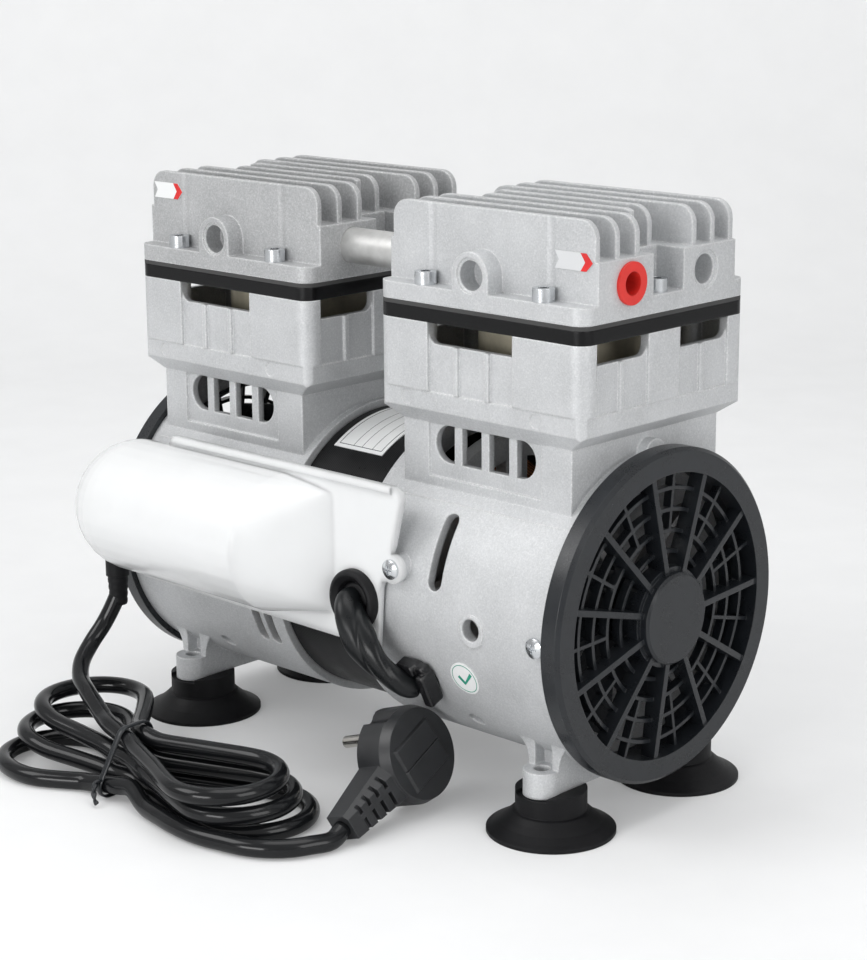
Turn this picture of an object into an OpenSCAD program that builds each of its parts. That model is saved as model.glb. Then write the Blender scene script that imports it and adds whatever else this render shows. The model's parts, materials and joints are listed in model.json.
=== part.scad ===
// Oil-free twin-cylinder vacuum pump, in millimetres.
// X runs along the motor shaft, -Y is the side of the capacitor cover, Z is up and z = 0 is the floor.
// Most pieces are drawn around the shaft axis, then lifted to shaft_z and shifted by axis_y.

/* [Layout] */
// Distance between the two cylinder axes
head_pitch = 143.2; // [142:0.2:145]
// Height of the round crankcase's underside above the floor
drum_gap = 18.5; // [18:0.1:19.5]
// Pump centre to the open end of each crankcase
case_end_x = 118.7; // [118:0.1:121]
// Height of the deck that the valve plate lies on above the round crankcase
deck_over = 47.7; // [45:0.1:51]

/* [Crankcase] */
// Outer radius of the round crankcase
case_r = 63; // [62.5:0.1:64]
// Wall of the crankcase, pedestal and cylinder jacket
case_wall = 4; // [3:0.1:4.4]
// Pump centre to the inner rim of the left crankcase
rim_left = 25.8; // [24:0.1:27]
// Pump centre to the inner rim of the right crankcase
rim_right = 19; // [18:0.1:21]
// Depth of the recess that centres the stator
pilot_depth = 5; // [3:0.1:6]
// How far the pedestal stands back from the jacket's outline, along and across the shaft
ped_in_x = 9.2; // [7:0.1:9.8]
ped_in_y = 5.2; // [4.6:0.1:6.6]
// Radius of the fillet between pedestal and drum
flare_r = 4; // [2:0.2:5]
// Length and width of the square cylinder jacket
jacket_w = 103.6; // [103:0.2:106]
jacket_d = 97.2; // [97:0.2:100]
// Corner radius of jacket, plate and head
corner_r = 6; // [4:0.5:8]
// Heights as shares of deck_over: jacket, taper under it, and the jacket's upper proud band
jacket_share = 0.713; // [0.68:0.001:0.75]
taper_share = 0.126; // [0.09:0.002:0.16]
band_share = 0.56; // [0.53:0.002:0.59]
// How far the upper band stands proud
band_proud = 0.6; // [0.4:0.1:1]
// Depth of the recessed middle panels
panel_depth = 1.2; // [0.8:0.1:1.6]
// Depth of the cooling windows below the deck
window_h = 8.2; // [6:0.2:10]
// Width of the upright ribs on the jacket
rib_w = 2.2; // [1.6:0.1:3]

/* [Feet] */
// Distance between mounting holes along the shaft
mount_dx = 203; // [201:0.5:205]
// Distance between mounting holes across the shaft
mount_dy = 89; // [88.8:0.1:89.6]
// Radius of the mounting holes
mount_hole_r = 3.2; // [2.7:0.1:3.3]
// Radius of the bosses that carry the mounting holes
boss_r = 7.3; // [7:0.1:7.4]
// Height of the boss underside above the floor
boss_z = 16.2; // [15.8:0.1:16.6]
// Height of each boss
boss_h = 10.2; // [9.6:0.1:11]
// Distance between the suction feet across the shaft
foot_dy = 78; // [77.4:0.1:78]
// Radius of the suction cup's lip
cup_r = 25.1; // [23:0.1:25.1]
// Radius of the foot's collar
collar_r = 13.9; // [13.6:0.1:14.5]
// Height of the foot's collar above the floor
collar_top = 17.3; // [16.9:0.1:17.6]

/* [Cylinder heads] */
// Thickness of the valve plate
plate_t = 5.4; // [4:0.1:7]
// Thickness of the head gasket
gasket_t = 1.6; // [1:0.1:2]
// Thickness of the head's flange
flange_t = 6.7; // [6:0.1:8]
// Height of the head's body above its flange
block_h = 15.6; // [15:0.1:17]
// Height of the fins above the head's body
fin_h = 14.9; // [10:0.1:18]
// Thickness of a fin
fin_t = 2.4; // [1.8:0.1:3]
// Width of the flange's ledge beside the head's body, across the shaft
ledge_w = 8.2; // [8.1:0.1:9]
// Radius of the fin corners
fin_corner_r = 7; // [4:0.5:9]
// Radius of the threaded port wall
port_r = 5.72; // [5:0.01:6]
// Distance of the side ports from the head's middle
port_y = 22.2; // [21:0.1:23]
// Outer radius of the crossover tube
tube_r = 7.25; // [6:0.05:7.5]
// Wall of the crossover tube
tube_wall = 1.2; // [0.8:0.1:2]

/* [Running gear] */
// Throw of the eccentrics
throw = 5; // [4:0.1:5]
// Bore radius of the cylinder sleeves
bore_r = 30; // [30:0.1:30.5]
// Wall of the cylinder sleeves
sleeve_wall = 2; // [1.5:0.1:3]
// Radius of the shaft ends
shaft_r = 6; // [5.5:0.1:6]
// How far the stator core stands out of the crankcase's bore radius
stator_over = 0.6; // [0.4:0.1:1]
// Inner radius of the stator core as a share of its outer radius
stator_bore_share = 0.52; // [0.51:0.01:0.53]
// Air gap between rotor and stator
air_gap = 0.5; // [0.4:0.1:0.9]

/* [Fan guards] */
// How far the fan guard stands out over the crankcase's radius
guard_over = 2.5; // [1.5:0.1:2.5]
// Width of the guard's ring
guard_rim = 9.5; // [8.5:0.1:11.5]
// Depth of the guard outside the crankcase
guard_t = 8; // [6:0.2:10]
// Radius of the guard's hub disc as a share of its opening
hub_share = 0.32; // [0.26:0.01:0.35]
// How far the hub disc stands in front of the ring
hub_proud = 3.8; // [2:0.1:5]
// Number of main spokes
spokes = 11; // [7:1:13]
// Number of fan blades
blades = 7; // [5:1:7]

/* [Capacitor cover] */
// Radius of the cover's round body
cover_r = 28; // [27:0.1:28]
// Back of the cover's flange to the middle of the round body
cover_out = 6; // [5:0.1:6]
// Height of the body's middle above the shaft axis
cover_z = 17.5; // [17:0.1:18]
// Gap between the round crankcase and the back of the cover's flange
cover_gap = 1; // [0.6:0.1:1.4]
// Wall of the cover
cover_wall = 2.5; // [2:0.1:3]
// Radius of the capacitor
capacitor_r = 15; // [12:0.1:15.3]

/* [Cord] */
// Diameter of the mains cord
cord_d = 7.2; // [6.8:0.1:7.2]

/* [Hidden] */
$fn = 64;

// Overrun of every cut, and the clearances between pieces
cut = 1;
fit_gap = 0.05;
free_gap = 0.3;

// Levels above the shaft axis
shaft_z = case_r + drum_gap;
deck_h = case_r + deck_over;
jacket_h = jacket_share * deck_over;
taper_h = taper_share * deck_over;
band_h = band_share * deck_over;
head_x = head_pitch / 2;
jacket_base = deck_h - jacket_h;
ped_top = jacket_base - taper_h;
parting_h = deck_h - band_h;
gasket_h = deck_h + plate_t;
flange_h = gasket_h + gasket_t;
ledge_h = flange_h + flange_t;
block_top = ledge_h + block_h;
port_share = 0.4;
port_h = ledge_h + port_share * block_h;

// Radii and distances that follow the crankcase
case_bore_r = case_r - case_wall;
guard_r = case_r + guard_over;
guard_hole_r = guard_r - guard_rim;
hub_r = hub_share * guard_hole_r;
stator_r = case_bore_r + stator_over;
stator_bore_r = stator_bore_share * stator_r;
rotor_r = stator_bore_r - air_gap;
cover_back = case_r + cover_gap;
cover_y = cover_back + cover_out;
axis_y = (cover_y + cover_r - guard_r) / 2;
ped_w = jacket_w - 2 * ped_in_x;
ped_d = jacket_d - 2 * ped_in_y;
block_d = jacket_d - 2 * ledge_w;

// Jacket interior, screw columns and panels, measured from the cylinder axis
floor_t = 6;
floor_h = ped_top + floor_t - free_gap;
seat_depth = 2;
screw_r = 2.5;
screw_head_r = 4.25;
screw_head_h = 5;
screw_bite = 12;
column_r = 4.2;
screw_share = 0.285;
screw_dx = screw_share * jacket_w;
ledge_y = (jacket_d + block_d) / 4;
notch_screw_in = 5.8;
notch_dx = jacket_w / 2 - notch_screw_in;
window_x = [-25.1, 17.9];
window_corner = 4;
face_ribs = [-10.7, 5];
side_windows = [[-40.9, -11], [7.5, 37]];
side_ribs = [-26.4, 21.1];
pin_mark_r = 2.8;
pin_mark_depth = 0.3;
pin_marks = [-37, 28.7];

// Slots of the pedestal
oval_x = -1.1;
oval_w = 51;
oval_h = 14.8;
oval_drop = 7.6;
oval_bars = [-14.9, -1, 13];
oval_bar_w = 3.8;
ped_panel = [-29.5, 27.8];
ped_panel_depth = 1;

// Holes in the round crankcases: distance along the shaft and angle up from the -Y side
vent_x = 61.8;
vent_w = 7;
vent_angles = [10, 38];
pilot_hole_x = 82.3;
pilot_hole_r = 4.3;
pilot_rim_r = 6.3;
pilot_rim_h = 0.7;
low_hole_angle = -43;
low_hole_r = 3.6;
low_hole_right_x = 69.5;
low_hole_left_x = 75.5;
left_slot_x = [42.5, 35];
left_slot_w = 5.2;
left_slot_angles = [-32, -6];

// Bearing wall
spider_back = 28.6;
spider_x = head_x - spider_back;
spider_t = 6;
spider_rim = 9;
spider_ring_r = case_bore_r - spider_rim;
spider_hub_r = 25;
spider_arm_w = 12;
bearing_r = 20;
bearing_w = 12;
bearing_bore_r = 8.5;
bearing_shoulder = 2;
race_t = 3;
ball_r = 3.2;
balls = 9;
bolt_r = 2.5;
bolt_in = 5.1;
bolt_pitch_r = stator_r - bolt_in;
bolt_head_h = 4;

// Foot beams and webs
beam_w = 2 * boss_r;
web_t = 3;
web_fillet = 14;
web_y = mount_dy / 2 - 1;
flare_steps = 5;
flare_angle = 50;
beam_root_y = 38;
beam_root_z = 33;
foot_x = mount_dx / 2;
foot_y = foot_dy / 2;
foot_screw_r = 1.5;
foot_screw_head_r = 3.2;
foot_screw_head_h = 3;
foot_screw_top = collar_top + 7.5;
cup_ceiling = 5.6;
cup_shares = [0.6, 0.8, 0.4];
cup_skirt = [[2.2, 1.1], [5.2, 2.9], [8, 5.2], [10, 7.1]];
lip_w = 1.5;
lip_h = 1.4;

// Lug over the fan guard and the radial screws that hold the guard
lug_r = 6;
lug_l = 9;
guard_screw_x = 4.8;
pan_r = 3.9;
pan_h = 2.4;
pan_shank_r = 2;
pan_edge = 0.7;
pan_dome = 1.8;
skirt_t = 1.7;
skirt_l = 9.7;
skirt_gap = 0.3;

// Cylinder head details
chamber_roof = 3.5;
chamber_share = 0.328;
chamber_half = chamber_share * jacket_w;
chamber_rib = 4;
notch_w = 18;
notch_l = 13.3;
notch_in = jacket_w / 2 - notch_l;
fin_count = 8;
fin_ends = [1.5, 9.8, 13.8];
fin_half = jacket_w / 2 - fin_ends[0];
fin_long = jacket_w / 2 - fin_ends[1];
fin_short = jacket_w / 2 - fin_ends[2];
pilot_x = -3.2;
pilot_boss_r = 9;
pilot_blind = 9;
rim_recess_r = 7.5;
rim_recess = 0.8;
tube_insert = 9;
oring_r = 0.9;
oring_back = 4;
oring_groove = 1;
plug_flange_r = 8;
plug_flange_t = 1.2;
plug_shank_l = 9;
plug_hole_r = 4.4;
reed_t = 0.4;
reed_w = 9;
reed_l = 26;
reed_x = 15;
rivet_r = 1.5;
valve_hole_r = 3;
valve_hole_y = [-6, 6];

// Running gear
rotor_clear = 1;
rod_bearing_r = 23.5;
rod_bearing_bore = 12.5;
rod_bearing_w = 12;
rod_ring_t = 6;
rod_w = 13;
rod_shank_w = 18;
rod_shank_t = 9;
rod_flange_t = 2.4;
disc_t = 5;
cap_t = 3;
cap_r = 20;
seal_t = 0.8;
seal_lip_h = 4;
squish = 0.8;
piston_r = bore_r - throw - free_gap;
disc_top = deck_h - squish - throw - cap_t - seal_t;
web_gap = 1.1;
ecc_web_t = 5.4;
ecc_web_r = 25;
ecc_hub_r = 11.6;
grub_l = 5.5;
stack_r = 9;
core_left = rim_left + pilot_depth;
core_right = rim_right + pilot_depth;
winding_l = 10;
winding_share = 0.822;
winding_r = winding_share * stator_r;
tooth_tip = 3;
winding_in = stator_bore_r + tooth_tip;
slot_count = 24;
slot_w = 3.4;
slot_fill = 0.15;
ring_t = 12.5;
ring_in = rotor_r - ring_t;
ring_l = 6;
fan_x = 92;
fan_w = 16;
fan_hub_r = 14;
fan_clear = 8;
fan_r = case_bore_r - fan_clear;
blade_t = 1.8;
blade_root = 9;
blade_tip = 24;
blade_pitch = 55;
blade_corner = [4, 3];

// Fan guard grille
grille_front_drop = 0.7;
grille_depth = 7;
spoke_w = 2.4;
thin_spoke_w = 1.4;
grille_ring_shares = [0.446, 0.589, 0.736, 0.884];
grille_rings = [for (q = grille_ring_shares) q * guard_hole_r];
thin_spoke_in = grille_rings[1];
grille_ring_w = 1.5;
grille_ring_t = 3.6;
first_spoke = -22.5;
guard_edge = 1.5;
hub_ring_r = hub_r + 1.7;
hub_chamfer = 0.9;

// Capacitor cover outline, as x and height above the shaft axis
flange_left = -84;
flange_right = 49.6;
flange_top = 49.5;
flange_low = -15.7;
flange_low_left = -106;
flange_waist = 44.8;
flange_waist_z = 26;
flange_corner = 5;
bead_h = 1.5;
cover_stud_x = [-60, -96];
cover_stud_z = -10;
cover_stud_r = 2;
ear_x = 43.8;
ear_z = 16.9;
ear_r = 5.8;
lug_x = 33;
lug_top = 8;
lug_side = 37.6;
lug_tip_r = 3;
body_left = -101;
body_right = -14;
ramp_right = 11.5;
ramp_half = 24;
capacitor_l = 74;
capacitor_post = [0.6, 2];
capacitor_x = -95;
grommet_x = 24.4;
grommet_z = 1.1;
grommet_r = 12.2;
grommet_hole_r = 7;
grommet_proud = 4;
grommet_lip_t = 0.6;
grommet_neck_r = 10.5;
grommet_waist = 0.6;
sleeve_r = 4.6;
bush_x = 51;
bush_angle = -25;
bush_r = 8.5;
bush_neck_r = 6.6;
bush_proud = 3;
gland_x = -108;
gland_out = 9;
gland_y = -cover_y - gland_out;
gland_neck_r = 5;
gland_l = 4.5;
gland_drop = 25.7;
gland_z = cover_z - gland_drop;

// Plates and labels
label_t = 0.4;
name_x = [-21, 6.5];
name_angles = [56, 92];
arrow_l = 18;
arrow_h = 6.6;
arrow_tip = 6;
arrow_rise = [19.2, 12];
intake_arrow = [-49, ledge_h + arrow_rise[0]];
exhaust_arrow = [31.5, ledge_h + arrow_rise[1]];
round_label_r = 7;
round_label_x = 75.5;
round_label_angle = -20;

// Route of the lead sleeve around the shaft axis, as steps from the grommet and from the bush
lead_seat = 2.8;
lead_out = 2;
lead_start = [grommet_x, -cover_back - lead_seat, grommet_z];
lead_end_r = case_r + bush_proud + lead_out;
lead_end = [bush_x, -lead_end_r * cos(bush_angle), lead_end_r * sin(bush_angle)];
lead_from_grommet = [[0, 0, 0], [0, -4.7, -0.5], [1.2, -8.7, -3.6], [3.6, -11.2, -9.1], [7.1, -12.2, -15.1]];
lead_from_bush = [[-15, -15.9, 9.2], [-10, -12.4, 4.7], [-5, -7.9, 1.2], [-1.4, -3.4, -0.5], [0, 0, 0]];
lead_points = concat(
    [for (step = lead_from_grommet) lead_start + step], [for (step = lead_from_bush) lead_end + step]
);
lead_sides = 10;

// Rubber cord, its hank and its plug, measured from the floor and the middle of the pump
cord_sides = 10;
hank_sides = 6;
hank_loops = 3;
hank_x = -50;
hank_out = 56.5;
hank_y = -case_r - hank_out;
hank_turn = 3;
hank_waist = 4.1;
hank_pitch = 8.2;
hank_aside = 11;
hank_neck_r = 28;
hank_blend = 30;
hank_steps = [3, 6];
hank_sink = [0.3, 0.95];
hank_lift_l = 8;
hank_exit = -10;
// Reach, bend radius and turn of the lobes, upper loop first
hank_right = [[78, 22, -2], [81, 22, 2], [84, 22, 8]];
hank_left = [[73, 21.5, -20], [69, 21.5, -9], [66, 21.5, 8]];
tie_w = 3;
tie_t = 1.2;
tie_gap = 0.6;
drop_from_gland = [[0, 0, 0], [0, 0, -cord_d], [-1, -2, -12.8], [-3, -6, -20.8], [-3.5, -13, -28.3]];
drop_from_hank = [[-58, 19.5, 31.4], [-50, 12.5, 27.4], [-40, 8, 25.2], [-30, 4.5, 22.6], [-22, 1.9, 20.2]];
tail_from_hank = [[26, -17, 0.2], [38, -19.7, 0.2], [52, -21.8, 0.2], [64, -21.8, 0.2]];
tail_from_plug = [
    [-28.8, -77.9, -20.9], [-20.1, -75.6, -20.9], [-12.3, -71.4, -20.9], [-6.1, -65.2, -20.9],
    [-2.3, -58, -20.8]
];
plug_in = 2;
plug_at = [54.3, plug_in - case_r, 24.7];
plug_yaw = 3;
plug_tilt = 18.6;
plug_spin = 201.2;
plug_r = 19.5;
plug_t = 18;
plug_edge = 1.5;
relief_depth = 9;
relief_l = 45.5;
relief_neck = 8;
relief_tip = 5.3;
relief_corner = 1.17;
relief_slots = 4;
relief_slot_w = 1.8;
notch_r = 5;
notch_depth = 3;
pin_r = 2.4;
pin_l = 19;
pin_tip = 1;
pin_seat = 8;
pin_offset = 9.5;
earth_y = 10;

function arc(cx, cy, r, a0, a1, n) = [
    for (i = [0 : n]) let (a = a0 + (a1 - a0) * i / n) [cx + r * cos(a), cy + r * sin(a)]
];

// Places pieces that are drawn around the shaft axis
module at_shaft() {
    translate([0, axis_y, shaft_z]) children();
}

module at_floor() {
    translate([0, axis_y, 0]) children();
}

module at_head(side) {
    at_shaft() translate([side * head_x, 0, 0]) children();
}

module rounded_rect(w, d, r) {
    square([w - 2 * r, d], center = true);
    square([w, d - 2 * r], center = true);
    for (sx = [-1, 1], sy = [-1, 1]) translate([sx * (w / 2 - r), sy * (d / 2 - r)]) circle(r);
}

module slab(w, d, r, z0, z1) {
    translate([0, 0, z0]) linear_extrude(z1 - z0) rounded_rect(w, d, r);
}

module block(x0, x1, y0, y1, z0, z1) {
    translate([x0, y0, z0]) cube([x1 - x0, y1 - y0, z1 - z0]);
}

module cyl_x(x0, x1, r) {
    translate([min(x0, x1), 0, 0]) rotate([0, 90, 0]) cylinder(h = abs(x1 - x0), r = r);
}

module cyl_y(y0, y1, r) {
    translate([0, y1, 0]) rotate([90, 0, 0]) cylinder(h = y1 - y0, r = r);
}

module cyl_z(z0, z1, r) {
    translate([0, 0, z0]) cylinder(h = z1 - z0, r = r);
}

// Turns a profile of [radius, x] points around the shaft axis
module turn_x() {
    rotate([0, 90, 0]) rotate_extrude() children();
}

// Turns children from the -Y side up to an angle around the shaft
module around(angle) {
    rotate([-angle, 0, 0]) children();
}

// A profile of [x, z] points, made as deep as the pump
module prism_y(half_depth) {
    translate([0, half_depth, 0]) rotate([90, 0, 0]) linear_extrude(2 * half_depth) children();
}

// A profile of [y, z] points, made as long as asked along X
module prism_x(x0, x1) {
    translate([x0, 0, 0]) rotate([90, 0, 90]) linear_extrude(x1 - x0) children();
}

// Half outline of the jacket as [distance from the middle, height]
function jacket_half(low, full) = [
    [low, ped_top], [full - band_proud, jacket_base], [full - band_proud, parting_h],
    [full, parting_h], [full, deck_h]
];

module mirrored_profile(points) {
    polygon(concat(points, [for (i = [len(points) - 1 : -1 : 0]) [-points[i][0], points[i][1]]]));
}

module jacket_outer() {
    intersection() {
        slab(jacket_w, jacket_d, corner_r, ped_top, deck_h);
        prism_y(jacket_d) mirrored_profile(jacket_half(ped_w / 2, jacket_w / 2));
        prism_x(-jacket_w, jacket_w) mirrored_profile(jacket_half(ped_d / 2, jacket_d / 2));
    }
}

module pedestal_outer() {
    half = ped_d / 2;
    foot = sqrt(pow(case_r, 2) - pow(half + flare_r, 2)) + free_gap;
    prism_x(-ped_w / 2, ped_w / 2) mirrored_profile(concat(
        [[half + flare_r, 0]],
        [for (p = arc(half + flare_r, foot + flare_r, flare_r, 270, 180, 6)) p],
        [[half, ped_top + free_gap]]
    ));
}

module screw_columns(r, z0, z1) {
    for (sx = [-1, 1], sy = [-1, 1]) translate([sx * screw_dx, sy * ledge_y, 0]) cyl_z(z0, z1, r);
    for (sx = [-1, 1]) translate([sx * notch_dx, 0, 0]) cyl_z(z0, z1, r);
}

// Window with one rounded lower corner, cut through the wall under the deck
module window(w) {
    difference() {
        square([w, window_h + cut]);
        difference() {
            square(window_corner);
            translate([window_corner, window_corner]) circle(window_corner);
        }
    }
}

module jacket_cuts() {
    difference() {
        slab(jacket_w - 2 * case_wall, jacket_d - 2 * case_wall, corner_r - case_wall / 2,
             floor_h, deck_h + cut);
        screw_columns(column_r, floor_h - cut, deck_h + 2 * cut);
    }
    cyl_z(floor_h - floor_t - cut, floor_h + cut, bore_r);
    cyl_z(floor_h - seat_depth, floor_h + cut, bore_r + sleeve_wall + fit_gap);
    screw_columns(screw_r + fit_gap, deck_h - screw_bite - cut, deck_h + cut);
    for (sy = [-1, 1]) {
        half = jacket_d / 2;
        w = window_x[1] - window_x[0];
        translate([window_x[0], sy * half, 0]) {
            block(0, w, -panel_depth, panel_depth, parting_h, deck_h + cut);
            translate([0, case_wall + cut, deck_h - window_h]) rotate([90, 0, 0])
                linear_extrude(2 * (case_wall + cut)) window(w);
        }
        for (x = pin_marks) translate([x, sy * (half - band_proud), (jacket_base + parting_h) / 2])
            cyl_y(-pin_mark_depth, pin_mark_depth, pin_mark_r);
    }
    for (sx = [-1, 1], span = side_windows) {
        half = jacket_w / 2;
        translate([sx * half, 0, 0]) {
            block(-panel_depth, panel_depth, span[0], span[1], parting_h, deck_h + cut);
            translate([-case_wall - cut, span[1], deck_h - window_h]) rotate([90, 0, 90])
                mirror([1, 0, 0]) linear_extrude(2 * (case_wall + cut)) window(span[1] - span[0]);
        }
    }
}

module jacket_ribs() {
    top = deck_h - window_h;
    for (x = face_ribs, sy = [-1, 1]) {
        y = sy * (jacket_d / 2 - panel_depth / 2);
        block(x - rib_w / 2, x + rib_w / 2, y - panel_depth / 2, y + panel_depth / 2, parting_h, top);
    }
    for (y = side_ribs, sx = [-1, 1]) {
        x = sx * (jacket_w / 2 - panel_depth / 2);
        block(x - panel_depth / 2, x + panel_depth / 2, y - rib_w / 2, y + rib_w / 2, parting_h, top);
    }
}

// Oval of four upright slots, as an [x, z] outline
module oval_slots() {
    difference() {
        translate([oval_x, ped_top - oval_drop]) rounded_rect(oval_w, oval_h, oval_h / 2 - fit_gap);
        for (x = oval_bars) translate([x - oval_bar_w / 2, ped_top - oval_drop - oval_h])
            square([oval_bar_w, 2 * oval_h]);
    }
}

module pedestal_cuts() {
    in_x = ped_w / 2 - case_wall;
    in_y = ped_d / 2 - case_wall;
    block(-in_x, in_x, -in_y, in_y, case_bore_r / 2, ped_top - free_gap);
    prism_y(ped_d) oval_slots();
    low = sqrt(pow(case_r, 2) - pow(ped_d / 2, 2)) + flare_r;
    for (sy = [-1, 1]) {
        y = sy * ped_d / 2;
        block(ped_panel[0], ped_panel[1], y - ped_panel_depth, y + ped_panel_depth, low, ped_top);
    }
}

// Slot with round ends through the crankcase wall, between two angles
module wall_slot(x, w, angles) {
    middle = (angles[0] + angles[1]) / 2;
    half = case_r * sin((angles[1] - angles[0]) / 2);
    around(middle) translate([x, -case_bore_r * cos(angles[1] - middle) + 2 * cut, 0]) rotate([90, 0, 0])
        linear_extrude(case_r / 2) rounded_rect(w, 2 * half, w / 2 - fit_gap);
}

module wall_hole(x, angle, r) {
    around(angle) translate([x, 0, 0]) cyl_y(-case_r - 2 * cut, -case_bore_r + 2 * cut, r);
}

// Beam across the pump under the drum, with a boss and a hollow, flared leg at each end
module foot_beam() {
    z0 = collar_top - shaft_z;
    z1 = boss_z + boss_h - shaft_z;
    half = beam_w / 2;
    root_y = web_y + web_fillet / 2;
    centre_z = free_gap - sqrt(pow(case_r, 2) - pow(root_y, 2)) - web_fillet * sin(60);
    block(foot_x - half, foot_x + half, -mount_dy / 2, mount_dy / 2, z0, z1);
    block(foot_x - half, foot_x + half, -beam_root_y, beam_root_y, z0, beam_root_z - shaft_z);
    for (sy = [-1, 1]) translate([foot_x, sy * mount_dy / 2, 0]) cyl_z(boss_z - shaft_z, z1, boss_r);
    translate([foot_x, 0, 0]) difference() {
        intersection() {
            prism_x(-case_r, case_r) mirrored_profile(concat(
                [[web_y - boss_r / 2, z0], [web_y, z1]],
                arc(web_y + web_fillet, centre_z, web_fillet, 180, 120, 6)
            ));
            prism_y(case_r) mirrored_profile(concat(
                [[half, z0]],
                arc(half + web_fillet, z1, web_fillet, 180, 180 - flare_angle, flare_steps)
            ));
        }
        for (sy = [-1, 1]) translate([0, sy * (beam_root_y + case_r / 2), z1])
            block(web_t - half, half - web_t, -case_r / 2, case_r / 2, 0, case_r);
    }
}

module foot_holes() {
    for (sy = [-1, 1]) {
        translate([foot_x, sy * mount_dy / 2, 0])
            cyl_z(boss_z - shaft_z - cut, boss_z + boss_h - shaft_z + cut, mount_hole_r);
        translate([foot_x, sy * foot_y, 0])
            cyl_z(boss_z - shaft_z - cut, foot_screw_top - shaft_z + free_gap,
                  foot_screw_r + fit_gap);
    }
}

module spider() {
    difference() {
        union() {
            cyl_x(spider_x, spider_x + spider_t, case_bore_r + case_wall / 2);
            cyl_x(spider_x, spider_x + bearing_w + bearing_shoulder, spider_hub_r);
        }
        difference() {
            cyl_x(spider_x - cut, spider_x + spider_t + cut, spider_ring_r);
            cyl_x(spider_x - 2 * cut, spider_x + spider_t + 2 * cut, spider_hub_r);
            for (a = [0, 90]) rotate([a, 0, 0]) block(spider_x - 2 * cut, spider_x + spider_t + 2 * cut,
                -spider_ring_r, spider_ring_r, -spider_arm_w / 2, spider_arm_w / 2);
        }
        cyl_x(spider_x + bearing_shoulder, spider_x + bearing_w + 2 * bearing_shoulder,
              bearing_r + fit_gap);
        cyl_x(spider_x - cut, spider_x + bearing_w, bearing_r - race_t);
        bolt_places() cyl_x(spider_x - cut, spider_x + spider_t + cut, bolt_r + fit_gap);
    }
}

module bolt_places() {
    for (a = [45 : 90 : 315]) rotate([a, 0, 0]) translate([0, 0, bolt_pitch_r]) children();
}

// One crankcase, drawn for the +X end when side is 1
module crankcase(side, rim) {
    color("silver") at_shaft() difference() {
        union() {
            difference() {
                union() {
                    cyl_x(side * rim, side * case_end_x, case_r);
                    translate([side * head_x, 0, 0]) {
                        jacket_outer();
                        pedestal_outer();
                    }
                    mirror([side < 0 ? 1 : 0, 0, 0]) {
                        foot_beam();
                        lug_top = guard_r + lug_r / 2;
                        translate([0, 0, lug_top - lug_r]) cyl_x(case_end_x - lug_l, case_end_x, lug_r);
                    }
                    if (side > 0) {
                        around(0) translate([pilot_hole_x, 0, -pilot_rim_h])
                            cyl_y(-case_r - pilot_rim_h, -case_bore_r, pilot_rim_r);
                        translate([ear_x, 0, ear_z]) cyl_y(-cover_back, -case_bore_r + cut, ear_r - cut);
                    } else {
                        for (x = cover_stud_x) translate([x, 0, cover_stud_z])
                            cyl_y(-cover_back, -cover_stud_z - case_bore_r / 2, cover_stud_r);
                    }
                }
                cyl_x(side * (rim - cut), side * (case_end_x + cut), case_bore_r);
                cyl_x(side * (rim - cut), side * (rim + pilot_depth), stator_r + fit_gap);
                translate([side * head_x, 0, 0]) {
                    jacket_cuts();
                    pedestal_cuts();
                }
            }
            translate([side * head_x, 0, 0]) jacket_ribs();
            mirror([side < 0 ? 1 : 0, 0, 0]) spider();
        }
        mirror([side < 0 ? 1 : 0, 0, 0]) foot_holes();
        for (a = [0, 180]) wall_hole(side * (case_end_x - guard_screw_x), a, pan_shank_r + fit_gap);
        if (side > 0) {
            wall_slot(vent_x, vent_w, vent_angles);
            wall_hole(pilot_hole_x, 0, pilot_hole_r);
            wall_hole(low_hole_right_x, low_hole_angle, low_hole_r);
            wall_hole(bush_x, bush_angle, bush_neck_r + fit_gap);
            translate([ear_x, 0, ear_z]) cyl_y(-cover_back - cut, -case_bore_r, pan_shank_r + fit_gap);
        } else {
            for (x = left_slot_x) wall_slot(-x, left_slot_w, left_slot_angles);
            wall_hole(-low_hole_left_x, low_hole_angle, low_hole_r);
        }
    }
}

module crankcase_left() {
    crankcase(-1, rim_left);
}

module crankcase_right() {
    crankcase(1, rim_right);
}

module sleeve(side) {
    color("darkkhaki") at_head(side) difference() {
        cyl_z(floor_h - seat_depth, deck_h, bore_r + sleeve_wall);
        cyl_z(floor_h - seat_depth - cut, deck_h + cut, bore_r);
    }
}

module cylinder_sleeve_left() {
    sleeve(-1);
}

module cylinder_sleeve_right() {
    sleeve(1);
}

// Places of the two valve ports of a plate, intake at -X and outlet at +X
module valve_ports(r, z0, z1) {
    for (sx = [-1, 1], y = valve_hole_y)
        translate([sx * reed_x, y, 0]) cyl_z(z0, z1, r);
}

module valve_plate(side) {
    color("black") at_head(side) difference() {
        slab(jacket_w, jacket_d, corner_r, deck_h, gasket_h);
        screw_columns(screw_r + fit_gap, deck_h - cut, gasket_h + cut);
        valve_ports(valve_hole_r, deck_h - cut, gasket_h + cut);
        for (sx = [-1, 1]) translate([sx * reed_x, reed_l / 2 - rivet_r - cut, 0])
            cyl_z(deck_h - cut, gasket_h + cut, rivet_r + fit_gap);
    }
}

module valve_plate_left() {
    valve_plate(-1);
}

module valve_plate_right() {
    valve_plate(1);
}

// Outline of the two chambers on the head's underside
module chamber_outline() {
    for (sx = [-1, 1]) translate([sx * (chamber_half + chamber_rib / 2) / 2, 0])
        rounded_rect(chamber_half - chamber_rib / 2, 2 * chamber_half, corner_r);
}

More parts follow.
